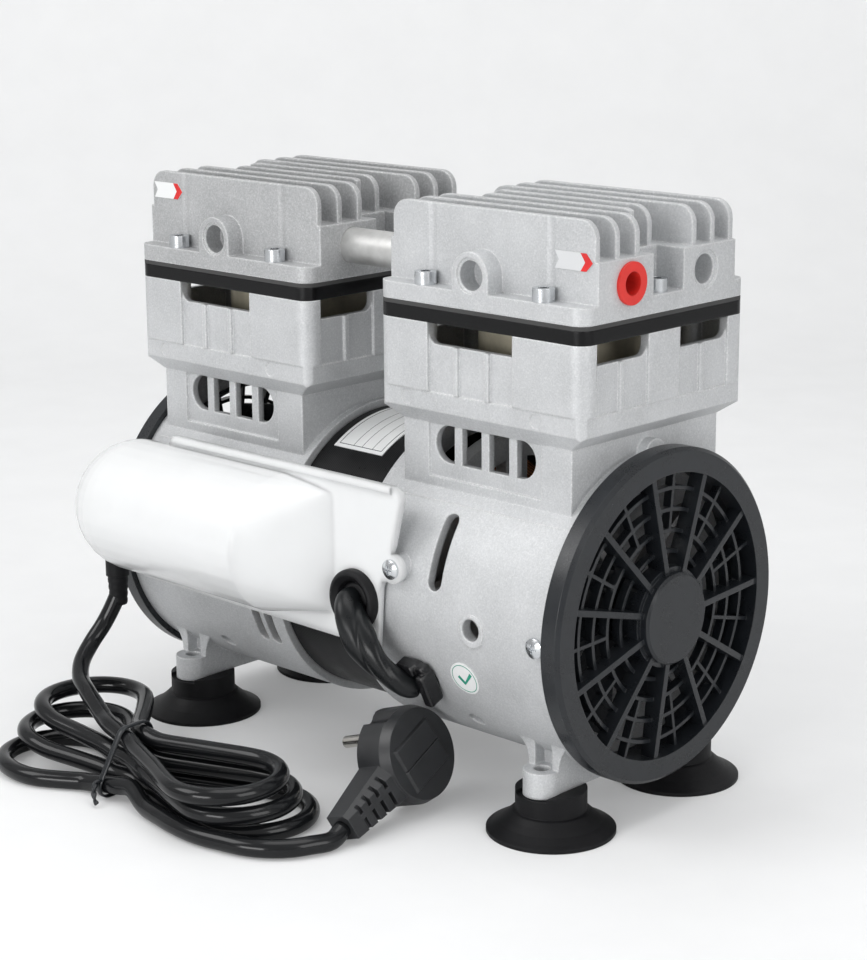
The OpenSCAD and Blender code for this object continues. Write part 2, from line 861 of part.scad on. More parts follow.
module head_gaskets() {
    color("dimgray") for (side = [-1, 1]) at_head(side) difference() {
        slab(jacket_w, jacket_d, corner_r, gasket_h, flange_h);
        screw_columns(screw_r + fit_gap, gasket_h - cut, flange_h + cut);
        translate([0, 0, gasket_h - cut]) linear_extrude(gasket_t + 2 * cut) chamber_outline();
    }
}

// Fin outline as [x, z], with round upper corners
module fin_outline(x0, x1) {
    top = block_top + fin_h;
    low = ledge_h;
    translate([x0, low]) square([x1 - x0, top - low - fin_corner_r]);
    translate([x0 + fin_corner_r, low]) square([x1 - x0 - 2 * fin_corner_r, top - low]);
    for (x = [x0 + fin_corner_r, x1 - fin_corner_r]) translate([x, top - fin_corner_r])
        circle(fin_corner_r);
}

module fins() {
    pitch = (block_d - fin_t) / (fin_count - 1);
    middle = (fin_count - 1) / 2;
    for (i = [0 : fin_count - 1]) {
        y = (i - middle) * pitch;
        near = abs(i - middle) < 1;
        x0 = near ? (i < middle ? -fin_short : -fin_long) : -fin_half;
        x1 = near ? (i < middle ? fin_long : fin_short) : fin_half;
        translate([0, y + fin_t / 2, 0]) rotate([90, 0, 0]) linear_extrude(fin_t) fin_outline(x0, x1);
    }
}

// Port on a side face of the head: a shallow round recess, then a bore of the given depth
module side_port(sx, sy, r, depth) {
    translate([0, sy * port_y, port_h]) {
        cyl_x(sx * (jacket_w / 2 - rim_recess), sx * (jacket_w / 2 + cut), rim_recess_r);
        cyl_x(sx * (jacket_w / 2 - depth), sx * (jacket_w / 2 + cut), r);
    }
}

module tube_port(sx) {
    translate([0, -port_y, port_h]) {
        cyl_x(sx * (jacket_w / 2 - tube_insert - free_gap), sx * (jacket_w / 2 + cut), tube_r + fit_gap);
        cyl_x(sx * (chamber_half - cut), sx * jacket_w / 2, tube_r - tube_wall);
        translate([sx * (jacket_w / 2 - oring_back), 0, 0])
            cyl_x(-oring_groove, oring_groove, tube_r + 2 * oring_r + 2 * fit_gap);
    }
}

module cylinder_head(side) {
    deep = jacket_w / 2 - chamber_half + cut;
    shallow = rim_recess + pilot_blind;
    color("silver") at_head(side) difference() {
        union() {
            slab(jacket_w, jacket_d, corner_r, flange_h, ledge_h);
            block(-jacket_w / 2, jacket_w / 2, -block_d / 2, block_d / 2, ledge_h - cut, block_top);
            fins();
            translate([pilot_x, 0, port_h]) cyl_y(-jacket_d / 2, 0, pilot_boss_r);
            block(pilot_x - pilot_boss_r, pilot_x + pilot_boss_r, -jacket_d / 2, 0, flange_h, port_h);
        }
        translate([0, 0, flange_h - cut])
            linear_extrude(block_top - chamber_roof - flange_h + cut) chamber_outline();
        for (sx = [-1, 1]) {
            x0 = sx > 0 ? notch_in : -jacket_w / 2 - cut;
            x1 = sx > 0 ? jacket_w / 2 + cut : -notch_in;
            block(x0, x1, -notch_w / 2, notch_w / 2, ledge_h, block_top + fin_h + cut);
            side_port(sx, 1, port_r, shallow);
        }
        screw_columns(screw_r + fit_gap, flange_h - cut, ledge_h + cut);
        screw_columns(screw_head_r + free_gap, ledge_h, block_top + fin_h + cut);
        translate([pilot_x, 0, port_h]) {
            cyl_y(-jacket_d / 2 - cut, -jacket_d / 2 + rim_recess, rim_recess_r - rim_recess);
            cyl_y(-jacket_d / 2 - cut, -jacket_d / 2 + pilot_blind, port_r);
        }
        tube_port(-side);
        side_port(side, -1, port_r, deep);
    }
}

module cylinder_head_left() {
    cylinder_head(-1);
}

module cylinder_head_right() {
    cylinder_head(1);
}

module socket_screw(shank) {
    difference() {
        union() {
            cyl_z(-shank, 0, screw_r);
            cyl_z(0, screw_head_h, screw_head_r);
        }
        translate([0, 0, screw_head_h / 2]) cylinder(h = screw_head_h, r = screw_r - free_gap, $fn = 6);
    }
}

module head_screws() {
    shank = ledge_h - deck_h + screw_bite;
    color("lightsteelblue") for (side = [-1, 1]) at_head(side) translate([0, 0, ledge_h]) {
        for (sx = [-1, 1], sy = [-1, 1]) translate([sx * screw_dx, sy * ledge_y, 0]) socket_screw(shank);
        for (sx = [-1, 1]) translate([sx * notch_dx, 0, 0]) socket_screw(shank);
    }
}

// Spring-steel reeds: intake under the plate, outlet on top, each on one rivet
module reed_valves() {
    rivet_y = reed_l / 2 - rivet_r - cut;
    color("lightgray") for (side = [-1, 1]) at_head(side) for (sx = [-1, 1]) {
        z0 = sx < 0 ? deck_h - reed_t : gasket_h;
        translate([sx * reed_x, 0, 0]) {
            difference() {
                slab(reed_w, reed_l, reed_w / 2 - free_gap, z0, z0 + reed_t);
                translate([0, rivet_y, 0]) cyl_z(z0 - cut, z0 + reed_t + cut, rivet_r + fit_gap);
            }
            translate([0, rivet_y, 0]) cyl_z(deck_h - reed_t, gasket_h + reed_t, rivet_r);
        }
    }
}

module crossover_tube() {
    reach = head_x - jacket_w / 2 + tube_insert;
    color("gainsboro") at_shaft() translate([0, -port_y, port_h]) difference() {
        cyl_x(-reach, reach, tube_r);
        cyl_x(-reach - cut, reach + cut, tube_r - tube_wall);
    }
}

module tube_orings() {
    place = head_x - jacket_w / 2 + oring_back;
    color("black") at_shaft() translate([0, -port_y, port_h]) for (s = [-1, 1])
        turn_x() translate([tube_r + oring_r + fit_gap, s * place]) circle(oring_r);
}

module stator_core() {
    color("#202020") at_shaft() difference() {
        cyl_x(-core_left, core_right, stator_r);
        cyl_x(-core_left - cut, core_right + cut, stator_bore_r);
        slots(slot_w, -core_left - cut, core_right + cut, winding_r);
        bolt_places() cyl_x(-core_left - cut, core_right + cut, bolt_r + fit_gap);
    }
}

module slots(w, x0, x1, outer) {
    for (i = [0 : slot_count - 1]) rotate([(i + 0.5) * 360 / slot_count, 0, 0])
        block(x0, x1, -w / 2, w / 2, winding_in, outer);
}

module stator_windings() {
    color("peru") at_shaft() {
        slots(slot_w - 2 * slot_fill, -core_left - free_gap - cut, core_right + free_gap + cut,
              winding_r - slot_fill);
        for (x = [-core_left - free_gap - winding_l, core_right + free_gap]) turn_x()
            translate([(winding_in + winding_r) / 2, x + winding_l / 2])
                rounded_rect(winding_r - winding_in, winding_l, winding_l / 3);
    }
}

// Through bolts of the motor, each with its head on the left bearing wall
module motor_bolts() {
    left = -spider_x - spider_t;
    right = spider_x + spider_t;
    color("gray") at_shaft() bolt_places() {
        cyl_x(left, right, bolt_r);
        translate([left - bolt_head_h, 0, 0]) rotate([0, 90, 0])
            cylinder(h = bolt_head_h, r = 2 * bolt_r - free_gap, $fn = 6);
    }
}

// Ring of a ball bearing with its groove, around the shaft axis
module race(x0, x1, r0, r1, groove_r) {
    difference() {
        cyl_x(x0, x1, r1);
        cyl_x(x0 - cut, x1 + cut, r0);
        turn_x() translate([groove_r, (x0 + x1) / 2]) circle(ball_r + fit_gap);
    }
}

module ball_set(x, r) {
    for (i = [0 : balls - 1]) rotate([i * 360 / balls, 0, 0]) translate([x, 0, r]) sphere(ball_r);
}

module bearing_outer_rings() {
    x0 = spider_x + bearing_shoulder;
    mid = (bearing_bore_r + bearing_r) / 2;
    color("lightsteelblue") at_shaft() for (s = [0, 1]) mirror([s, 0, 0]) {
        race(x0, x0 + bearing_w, bearing_r - race_t, bearing_r, mid);
        ball_set(x0 + bearing_w / 2, mid);
    }
}

module bearing_inner_rings() {
    x0 = spider_x + bearing_shoulder;
    mid = (bearing_bore_r + bearing_r) / 2;
    color("lightsteelblue") at_shaft() for (s = [0, 1]) mirror([s, 0, 0]) {
        race(x0, x0 + bearing_w, bearing_bore_r + fit_gap, bearing_bore_r + race_t, mid);
    }
    rod_mid = (rod_bearing_bore + rod_bearing_r) / 2;
    color("lightsteelblue") for (s = [-1, 1]) at_head(s) translate([0, 0, -s * throw])
        race(-rod_bearing_w / 2, rod_bearing_w / 2, rod_bearing_bore + fit_gap,
             rod_bearing_bore + race_t, rod_mid);
}

module shaft() {
    bearing_end = spider_x + bearing_shoulder + bearing_w;
    color("gray") at_shaft() {
        cyl_x(-core_left - ring_l, core_right + ring_l, stack_r);
        cyl_x(-bearing_end, bearing_end, bearing_bore_r);
        cyl_x(-fan_x - fan_w - cut, fan_x + fan_w + cut, shaft_r);
    }
}

module rotor_core() {
    color("slategray") at_shaft() difference() {
        cyl_x(-core_left, core_right, rotor_r);
        cyl_x(-core_left - cut, core_right + cut, stack_r + fit_gap);
    }
}

module rotor_end_rings() {
    color("lightgray") at_shaft() for (x = [-core_left - ring_l, core_right]) difference() {
        cyl_x(x, x + ring_l, rotor_r - rotor_clear);
        cyl_x(x - cut, x + ring_l + cut, ring_in);
    }
}

// Eccentric with its offset journal and the counterweight on the other side
module eccentric(side) {
    inner = head_x - rod_w / 2 - web_gap;
    color("darkgray") at_shaft() mirror([side < 0 ? 1 : 0, 0, 0]) difference() {
        union() {
            translate([0, 0, -side * throw])
                cyl_x(inner - ecc_web_t, head_x + rod_bearing_w / 2, rod_bearing_bore);
            intersection() {
                cyl_x(inner - ecc_web_t, inner, ecc_web_r);
                translate([0, 0, side * ecc_web_r / 2])
                    block(inner - ecc_web_t, inner, -ecc_web_r, ecc_web_r, -ecc_web_r / 2, ecc_web_r / 2);
            }
        }
        cyl_x(0, head_x + bearing_w, shaft_r + fit_gap);
        rotate([side > 0 ? 0 : 180, 0, 0]) translate([inner - ecc_web_t / 2, 0, 0])
            cyl_z(0, ecc_web_r + cut, screw_r - free_gap + fit_gap);
    }
}

module eccentric_left() {
    eccentric(-1);
}

module eccentric_right() {
    eccentric(1);
}

module set_screws() {
    inner = head_x - rod_w / 2 - web_gap - ecc_web_t / 2;
    color("dimgray") at_shaft() for (side = [-1, 1]) mirror([side < 0 ? 1 : 0, 0, 0]) {
        rotate([side > 0 ? 0 : 180, 0, 0]) translate([inner, 0, 0])
            cyl_z(shaft_r + fit_gap, shaft_r + 2 * grub_l, screw_r - free_gap);
        translate([fan_x + fan_w / 2, 0, 0]) cyl_z(shaft_r + fit_gap, shaft_r + grub_l, screw_r - free_gap);
    }
}

// Cooling fan on the shaft's end
module fan(side) {
    corner_y = blade_tip / 2 - blade_corner[1];
    corner_r = fan_r - blade_corner[0];
    color("#181818") at_shaft() mirror([side < 0 ? 1 : 0, 0, 0]) difference() {
        union() {
            cyl_x(fan_x, fan_x + fan_w, fan_hub_r);
            for (i = [0 : blades - 1]) rotate([i * 360 / blades, 0, 0])
                translate([fan_x + fan_w / 2, 0, 0]) rotate([0, 0, blade_pitch])
                    rotate([90, 0, 90]) translate([0, 0, -blade_t / 2]) linear_extrude(blade_t)
                        polygon([
                            [-blade_root / 2, fan_hub_r - cut], [blade_root / 2, fan_hub_r - cut],
                            [blade_tip / 2, corner_r], [corner_y, fan_r - cut],
                            [-corner_y, fan_r - cut], [-blade_tip / 2, corner_r]
                        ]);
        }
        cyl_x(fan_x - cut, fan_x + fan_w + cut, shaft_r + fit_gap);
        translate([fan_x + fan_w / 2, 0, 0]) cyl_z(0, fan_hub_r + cut, screw_r - free_gap + fit_gap);
    }
}

module fan_left() {
    fan(-1);
}

module fan_right() {
    fan(1);
}

// Connecting rod with its big end around the crankpin and the piston disc on top
module connecting_rod(side) {
    color("lightgray") at_head(side) translate([0, 0, -side * throw]) difference() {
        union() {
            cyl_x(-rod_w / 2, rod_w / 2, rod_bearing_r + rod_ring_t);
            block(-rod_flange_t / 2, rod_flange_t / 2, -rod_shank_w / 2, rod_shank_w / 2, rod_bearing_r,
                  disc_top - disc_t / 2);
            for (sy = [-1, 1]) {
                y = sy * (rod_shank_w / 2 - rod_flange_t / 2);
                block(-rod_shank_t / 2, rod_shank_t / 2, y - rod_flange_t / 2, y + rod_flange_t / 2,
                      rod_bearing_r, disc_top - disc_t / 2);
            }
            cyl_z(disc_top - disc_t, disc_top, piston_r);
            translate([0, 0, disc_top - 2 * disc_t])
                cylinder(h = disc_t + cut, r1 = rod_shank_w / 2, r2 = piston_r - disc_t);
        }
        cyl_x(-rod_w, rod_w, rod_bearing_r + fit_gap);
        cyl_z(disc_top - 2 * disc_t, disc_top + cut, screw_r + fit_gap);
    }
}

module connecting_rod_left() {
    connecting_rod(-1);
}

module connecting_rod_right() {
    connecting_rod(1);
}

module rod_bearing(side) {
    mid = (rod_bearing_bore + rod_bearing_r) / 2;
    color("lightsteelblue") at_head(side) translate([0, 0, -side * throw]) {
        race(-rod_bearing_w / 2, rod_bearing_w / 2, rod_bearing_r - race_t, rod_bearing_r, mid);
        ball_set(0, mid);
    }
}

module rod_bearing_left() {
    rod_bearing(-1);
}

module rod_bearing_right() {
    rod_bearing(1);
}

module cup_seal(side) {
    rim = bore_r - 2 * fit_gap;
    color("ivory") at_head(side) translate([0, 0, disc_top - side * throw]) rotate_extrude() polygon([
        [screw_r + free_gap, 0], [rim, 0], [rim, seal_lip_h], [rim - seal_t, seal_lip_h],
        [rim - seal_t, seal_t], [screw_r + free_gap, seal_t]
    ]);
}

module cup_seal_left() {
    cup_seal(-1);
}

module cup_seal_right() {
    cup_seal(1);
}

module piston_cap(side) {
    color("gainsboro") at_head(side) translate([0, 0, disc_top + seal_t - side * throw]) {
        difference() {
            cyl_z(0, cap_t, cap_r);
            cyl_z(-cut, cap_t + cut, screw_r + fit_gap);
            cyl_z(cap_t / 2, cap_t + cut, screw_head_r + fit_gap);
        }
        cyl_z(-2 * disc_t, cap_t, screw_r);
        cyl_z(cap_t / 2, cap_t, screw_head_r);
    }
}

module piston_cap_left() {
    piston_cap(-1);
}

module piston_cap_right() {
    piston_cap(1);
}

// Moulded fan guard: ring, skirt, hub, deep main spokes, thin spokes and rings
module fan_guard(side) {
    front = case_end_x + guard_t;
    back = front - grille_depth;
    skirt_r = case_bore_r - skirt_gap;
    color("#1c1c1c") at_shaft() mirror([side < 0 ? 1 : 0, 0, 0]) difference() {
        union() {
            turn_x() polygon([
                [guard_hole_r, case_end_x], [guard_hole_r, front], [guard_r - guard_edge, front],
                [guard_r, front - guard_edge], [guard_r, case_end_x]
            ]);
            turn_x() translate([skirt_r - skirt_t, case_end_x - skirt_l])
                square([skirt_t, skirt_l + cut]);
            turn_x() polygon([
                [0, front - cut], [0, front + hub_proud], [hub_r - hub_chamfer, front + hub_proud],
                [hub_r, front + hub_proud - hub_chamfer], [hub_r, front],
                [hub_ring_r, front], [hub_ring_r, back], [hub_ring_r - grille_ring_w, back],
                [hub_ring_r - grille_ring_w, front - cut]
            ]);
            for (i = [0 : spokes - 1]) rotate([first_spoke + i * 360 / spokes, 0, 0])
                translate([0, spoke_w / 2, 0]) rotate([90, 0, 0]) linear_extrude(spoke_w) polygon([
                    [back, hub_r], [front + hub_proud / 3, hub_r],
                    [front - grille_front_drop, guard_hole_r + cut], [back, guard_hole_r + cut]
                ]);
            for (i = [0 : spokes - 1]) rotate([first_spoke + (i + 0.5) * 360 / spokes, 0, 0])
                block(back, back + grille_ring_t, -thin_spoke_w / 2, thin_spoke_w / 2,
                      thin_spoke_in - grille_ring_w / 2, guard_hole_r + cut);
            for (r = grille_rings) turn_x() translate([r - grille_ring_w / 2, back])
                square([grille_ring_w, grille_ring_t]);
        }
        for (a = [0, 180]) wall_hole(case_end_x - guard_screw_x, a, pan_shank_r + fit_gap);
    }
}

module fan_guard_left() {
    fan_guard(-1);
}

module fan_guard_right() {
    fan_guard(1);
}

// Cross-head pan screw along -Y, seated at y = 0 with its shank towards +Y
module pan_screw(shank) {
    difference() {
        union() {
            cyl_y(-pan_edge * pan_h, shank, pan_shank_r);
            intersection() {
                cyl_y(-pan_h, 0, pan_r);
                translate([0, 2 * pan_h, 0]) sphere(pan_dome * pan_r);
            }
        }
        for (a = [0, 90]) rotate([0, a, 0])
            block(-pan_r / 2, pan_r / 2, -pan_h - cut, -pan_h / 2, -pan_h / 6, pan_h / 6);
    }
}

module panhead_screws() {
    color("lightsteelblue") at_shaft() {
        for (side = [-1, 1], a = [0, 180]) around(a)
            translate([side * (case_end_x - guard_screw_x), -case_r, 0])
                pan_screw(case_wall + skirt_gap + skirt_t);
        translate([ear_x, -cover_back - cover_wall, ear_z]) pan_screw(2 * cover_wall);
    }
}

module capacitor() {
    y = -cover_y - cover_r + cover_wall + capacitor_r + free_gap;
    color("whitesmoke") at_shaft() translate([0, y, cover_z]) {
        cyl_x(capacitor_x, capacitor_x + capacitor_l, capacitor_r);
        cyl_x(capacitor_x + capacitor_l, capacitor_x + capacitor_l + capacitor_post[1],
              capacitor_r * capacitor_post[0]);
    }
}

// Flange of the cover as [x, z], with its ear and its pointed lug
module cover_flange_outline() {
    c = flange_corner;
    polygon(concat(
        [[flange_low_left, flange_low], [lug_x - lug_tip_r, flange_low - cut]],
        arc(lug_x, flange_low, lug_tip_r, 250, 350, 5),
        [[lug_side, lug_top], [flange_waist, flange_waist_z]],
        arc(flange_right - c, flange_top - c, c, 0, 90, 6),
        [[flange_left, flange_top], [body_left, cover_z]]
    ));
    translate([ear_x, ear_z]) circle(ear_r);
    translate([lug_side - ear_r, ear_z - ear_r]) square([ear_x - lug_side + ear_r / 2, 2 * ear_r]);
}

// Bulge over the capacitor: round body, domed left end and a ramp down to the flat right end
module cover_bulge(r, ramp, back) {
    front = -cover_back - cover_wall;
    half = ramp_half + r - cover_r;
    intersection() {
        hull() {
            translate([body_left, -cover_y, cover_z]) sphere(r, $fn = 32);
            translate([0, -cover_y, cover_z]) rotate([0, 90, 0]) translate([0, 0, body_right - cut])
                cylinder(h = cut, r = r, $fn = 32);
            block(body_right, ramp, front, back, cover_z - half, cover_z + half);
        }
        block(body_left - 2 * r, ramp + cut, -cover_y - 2 * r, back, cover_z - 2 * r, cover_z + 2 * r);
    }
}

module capacitor_cover() {
    front = -cover_back - cover_wall;
    color("white") at_shaft() difference() {
        union() {
            translate([0, -cover_back, 0]) rotate([90, 0, 0]) linear_extrude(cover_wall)
                cover_flange_outline();
            cover_bulge(cover_r, ramp_right, -cover_back);
            translate([0, front, flange_top - bead_h])
                cyl_x(flange_left + bead_h, flange_right - flange_corner, bead_h);
        }
        cover_bulge(cover_r - cover_wall, ramp_right - 2 * cover_wall, -cover_back + cut);
        translate([grommet_x, 0, grommet_z]) cyl_y(front - cut, -cover_back + cut, grommet_neck_r + fit_gap);
        translate([ear_x, 0, ear_z]) cyl_y(front - cut, -cover_back + cut, pan_shank_r + fit_gap);
        translate([gland_x, gland_y, 0]) cyl_z(gland_z - cover_wall, cover_z, gland_neck_r + fit_gap);
        // Room for the left fan guard and the screw that holds it
        cyl_x(-case_end_x - cover_r, 2 * guard_screw_x - case_end_x, guard_r + free_gap);
    }
}

// Rubber grommet snapped into the cover's flat end
module cover_grommet() {
    front = cover_back + cover_wall;
    color("#151515") at_shaft() translate([grommet_x, 0, grommet_z]) rotate([90, 0, 0])
        rotate_extrude() polygon(concat(
            [[grommet_hole_r, cover_back - grommet_lip_t], [grommet_neck_r + cut, cover_back - grommet_lip_t],
             [grommet_neck_r + cut, cover_back], [grommet_neck_r, cover_back],
             [grommet_neck_r, front], [grommet_r, front]],
            arc(grommet_r - grommet_proud / 2, front + grommet_proud / 2, grommet_proud / 2, 0, 90, 5),
            [[grommet_hole_r + cut, front + grommet_proud * grommet_waist], [grommet_hole_r, front]]
        ));
}

module lead_bush() {
    color("#151515") at_shaft() around(bush_angle) translate([bush_x, 0, 0]) rotate([90, 0, 0])
        rotate_extrude() polygon([
            [sleeve_r + free_gap, case_bore_r], [bush_neck_r, case_bore_r], [bush_neck_r, case_r],
            [bush_r, case_r + fit_gap], [bush_r - cut, case_r + bush_proud],
            [sleeve_r + free_gap, case_r + bush_proud]
        ]);
}

module cord_gland() {
    color("#151515") at_shaft() translate([gland_x, gland_y, gland_z])
        cyl_z(-gland_l, gland_l, gland_neck_r);
}

module foot_profile() {
    polygon(concat(
        [[foot_screw_r + fit_gap, cup_ceiling], [cup_r / 3, cup_ceiling],
         [cup_r * cup_shares[0], cup_ceiling * cup_shares[1]],
         [cup_r - 3 * lip_w, cup_ceiling * cup_shares[2]], [cup_r - lip_w, 0], [cup_r, 0], [cup_r, lip_h]],
        [for (step = cup_skirt) [cup_r - step[0], lip_h + step[1]]],
        [[collar_r, cup_ceiling + 2 * lip_w + free_gap], [collar_r, collar_top],
         [foot_screw_r + fit_gap, collar_top]]
    ));
}

module suction_foot(side, front) {
    color("#101010") at_floor() translate([side * foot_x, front * foot_y, 0]) difference() {
        rotate_extrude() foot_profile();
        translate([0, front * (mount_dy - foot_dy) / 2, 0]) {
            cyl_z(boss_z - free_gap, collar_top + cut, boss_r + free_gap);
            block(-boss_r - free_gap, boss_r + free_gap, front > 0 ? 0 : -collar_r,
                  front > 0 ? collar_r : 0, boss_z - free_gap, collar_top + cut);
            cyl_z(boss_z - 2 * mount_hole_r, collar_top, mount_hole_r + free_gap);
        }
    }
}

module suction_foot_front_left() {
    suction_foot(-1, -1);
}

module suction_foot_front_right() {
    suction_foot(1, -1);
}

module suction_foot_rear_left() {
    suction_foot(-1, 1);
}

module suction_foot_rear_right() {
    suction_foot(1, 1);
}

module foot_screws() {
    color("silver") at_floor() for (sx = [-1, 1], sy = [-1, 1]) translate([sx * foot_x, sy * foot_y, 0]) {
        cyl_z(cup_ceiling, foot_screw_top, foot_screw_r);
        cyl_z(cup_ceiling - foot_screw_head_h, cup_ceiling, foot_screw_head_r);
    }
}

// Bare rating plate on the stator, bent to its radius
module nameplate() {
    r = stator_r + fit_gap;
    span = name_angles[1] - name_angles[0];
    color("whitesmoke") at_shaft() intersection() {
        difference() {
            cyl_x(name_x[0], name_x[1], r + label_t);
            cyl_x(name_x[0] - cut, name_x[1] + cut, r);
        }
        around(name_angles[0]) prism_x(name_x[0], name_x[1])
            polygon([[0, 0], [-2 * r, 0], [-2 * r * cos(span), 2 * r * sin(span)]]);
    }
}

// Arrow labels on the outer fins, without words
module arrow_labels() {
    color("white") for (item = [[-1, intake_arrow], [1, exhaust_arrow]]) {
        at_head(item[0]) translate([item[1][0], -block_d / 2 - fit_gap, item[1][1]]) rotate([90, 0, 0])
            linear_extrude(label_t) polygon([
                [0, 0], [arrow_l - arrow_tip / 2, 0], [arrow_l, arrow_h / 2],
                [arrow_l - arrow_tip / 2, arrow_h], [0, arrow_h], [arrow_tip / 3, arrow_h / 2]
            ]);
    }
}

module round_label() {
    r = case_r + fit_gap;
    color("whitesmoke") at_shaft() intersection() {
        difference() {
            cyl_x(round_label_x - 2 * round_label_r, round_label_x + 2 * round_label_r, r + label_t);
            cyl_x(round_label_x - 3 * round_label_r, round_label_x + 3 * round_label_r, r);
        }
        around(round_label_angle) translate([round_label_x, 0, 0]) cyl_y(-r - cut, 0, round_label_r);
    }
}

// Red dust plug that is pulled out of the exhaust port
module exhaust_plug() {
    face = jacket_w / 2;
    color("red") at_head(1) translate([0, -port_y, port_h]) turn_x() polygon([
        [plug_hole_r, face - plug_shank_l], [port_r - fit_gap, face - plug_shank_l],
        [port_r - fit_gap, face - rim_recess], [rim_recess_r - fit_gap, face - rim_recess],
        [rim_recess_r - fit_gap, face], [plug_flange_r, face], [plug_flange_r, face + plug_flange_t],
        [plug_hole_r, face + plug_flange_t]
    ]);
}

// Tube swept along points: rings square to the path, carried along without twist
function unit(v) = v / norm(v);
function path_dirs(p) = [
    for (i = [0 : len(p) - 1]) unit(p[min(i + 1, len(p) - 1)] - p[max(i - 1, 0)])
];
function carried(v, d) = unit(v - (v * d) * d);
function frames(d, i, v) = i >= len(d) ? [] : let (w = carried(v, d[i])) concat([w], frames(d, i + 1, w));
function sweep_points(p, r, sides, start) = let (d = path_dirs(p), u = frames(d, 0, start)) [
    for (i = [0 : len(p) - 1], k = [0 : sides - 1])
        let (a = 360 * (k + 0.5) / sides) p[i] + r * (cos(a) * u[i] + sin(a) * cross(d[i], u[i]))
];
function sweep_faces(n, sides) = concat(
    [[for (k = [sides - 1 : -1 : 0]) k]],
    [for (i = [0 : n - 2], k = [0 : sides - 1], t = [0, 1])
        let (a = i * sides + k, b = i * sides + (k + 1) % sides)
        t == 0 ? [a, b, b + sides] : [a, b + sides, a + sides]],
    [[for (k = [0 : sides - 1]) (n - 1) * sides + k]]
);

module swept_tube(points, r, sides, start) {
    polyhedron(sweep_points(points, r, sides, start), sweep_faces(len(points), sides), convexity = 10);
}

module lead_sleeve() {
    color("#222222") at_shaft() swept_tube(lead_points, sleeve_r, lead_sides, [0, 0, 1]);
}

// The hank: flat figure-of-eight loops drawn in where the tie holds them. Each next loop sinks one
// step on its way back to the tie, and the last one leaves beside the others on the floor.
function eased(q) = let (s = max(0, min(1, q))) s * s * (3 - 2 * s);

// Half a lobe in its own plane, from the waist at x = 0 to the tip, as two arcs and a straight
function half_lobe(reach, r) = let (
    cx = reach - r,
    cy = hank_waist + hank_neck_r,
    a = asin((hank_neck_r + r) / norm([cx, cy])) - atan2(cy, cx),
    neck = arc(0, cy, hank_neck_r, -90, a - 90, hank_steps[0]),
    tip = arc(cx, 0, r, 90 + a, 0, hank_steps[1])
) concat(neck, [(neck[hank_steps[0]] + tip[0]) / 2], tip);

// One loop as [x, y, share of the way from the left tip back to the waist]
function one_loop(k) = let (
    a = half_lobe(hank_right[k][0], hank_right[k][1]),
    b = half_lobe(hank_left[k][0], hank_left[k][1]),
    n = len(a) - 1
) concat(
    [for (i = [k > 0 ? 1 : 0 : n]) [a[i][0], -a[i][1], 0]],
    [for (i = [n - 1 : -1 : 0]) [a[i][0], a[i][1], 0]],
    [for (i = [1 : n]) [-b[i][0], b[i][1], 0]],
    [for (i = [n - 1 : -1 : 0]) [-b[i][0], -b[i][1], 1 - i / n]]
);

function hank_place(k, p) = let (
    sunk = eased((p[2] - hank_sink[0]) / (hank_sink[1] - hank_sink[0])),
    last = k == hank_loops - 1,
    turn = p[2] == 0 ? hank_right[k][2] : last ? hank_exit : hank_right[k + 1][2],
    level = last ? k : k + sunk,
    y = p[1] - (last ? hank_aside * sunk : 0),
    a = hank_left[k][2] + (turn - hank_left[k][2]) * eased((p[0] / hank_blend + 1) / 2),
    lift = (tie_t + tie_gap) * exp(-pow(p[0] / hank_lift_l, 2))
) [
    hank_x + p[0] * cos(a) - y * sin(a),
    hank_y + p[0] * sin(a) + y * cos(a),
    cord_d / 2 + fit_gap + lift + (hank_loops - 1 - level) * hank_pitch
];
function onward(p, q, d) = q + d * unit(q - p);
hank_runs = [for (k = [0 : hank_loops - 1], p = one_loop(k)) hank_place(k, p)];
hank_count = len(hank_runs);
hank_first = hank_runs[0];
hank_last = hank_runs[hank_count - 1];
hank_in = onward(hank_runs[1], hank_first, cord_d);
hank_end = onward(hank_runs[hank_count - 2], hank_last, cord_d);
hank_points = concat([hank_in], hank_runs, [hank_end]);

// Least distance between the surfaces of two runs of the hank
function run_gap(p, q, a, b) = let (
    d1 = q - p, d2 = b - a, r = p - a,
    n1 = d1 * d1, n2 = d2 * d2, f2 = d2 * r, c1 = d1 * r, m = d1 * d2,
    den = n1 * n2 - m * m,
    s0 = den < fit_gap ? 0 : max(0, min(1, (m * f2 - c1 * n2) / den)),
    t0 = max(0, min(1, (m * s0 + f2) / n2)),
    s1 = max(0, min(1, (m * t0 - c1) / n1))
) norm((p + s1 * d1) - (a + t0 * d2));
hank_gaps = [for (i = [0 : len(hank_points) - 9], j = [i + 7 : len(hank_points) - 2])
    run_gap(hank_points[i], hank_points[i + 1], hank_points[j], hank_points[j + 1])];
echo(hank_least_gap = min(hank_gaps) - cord_d);

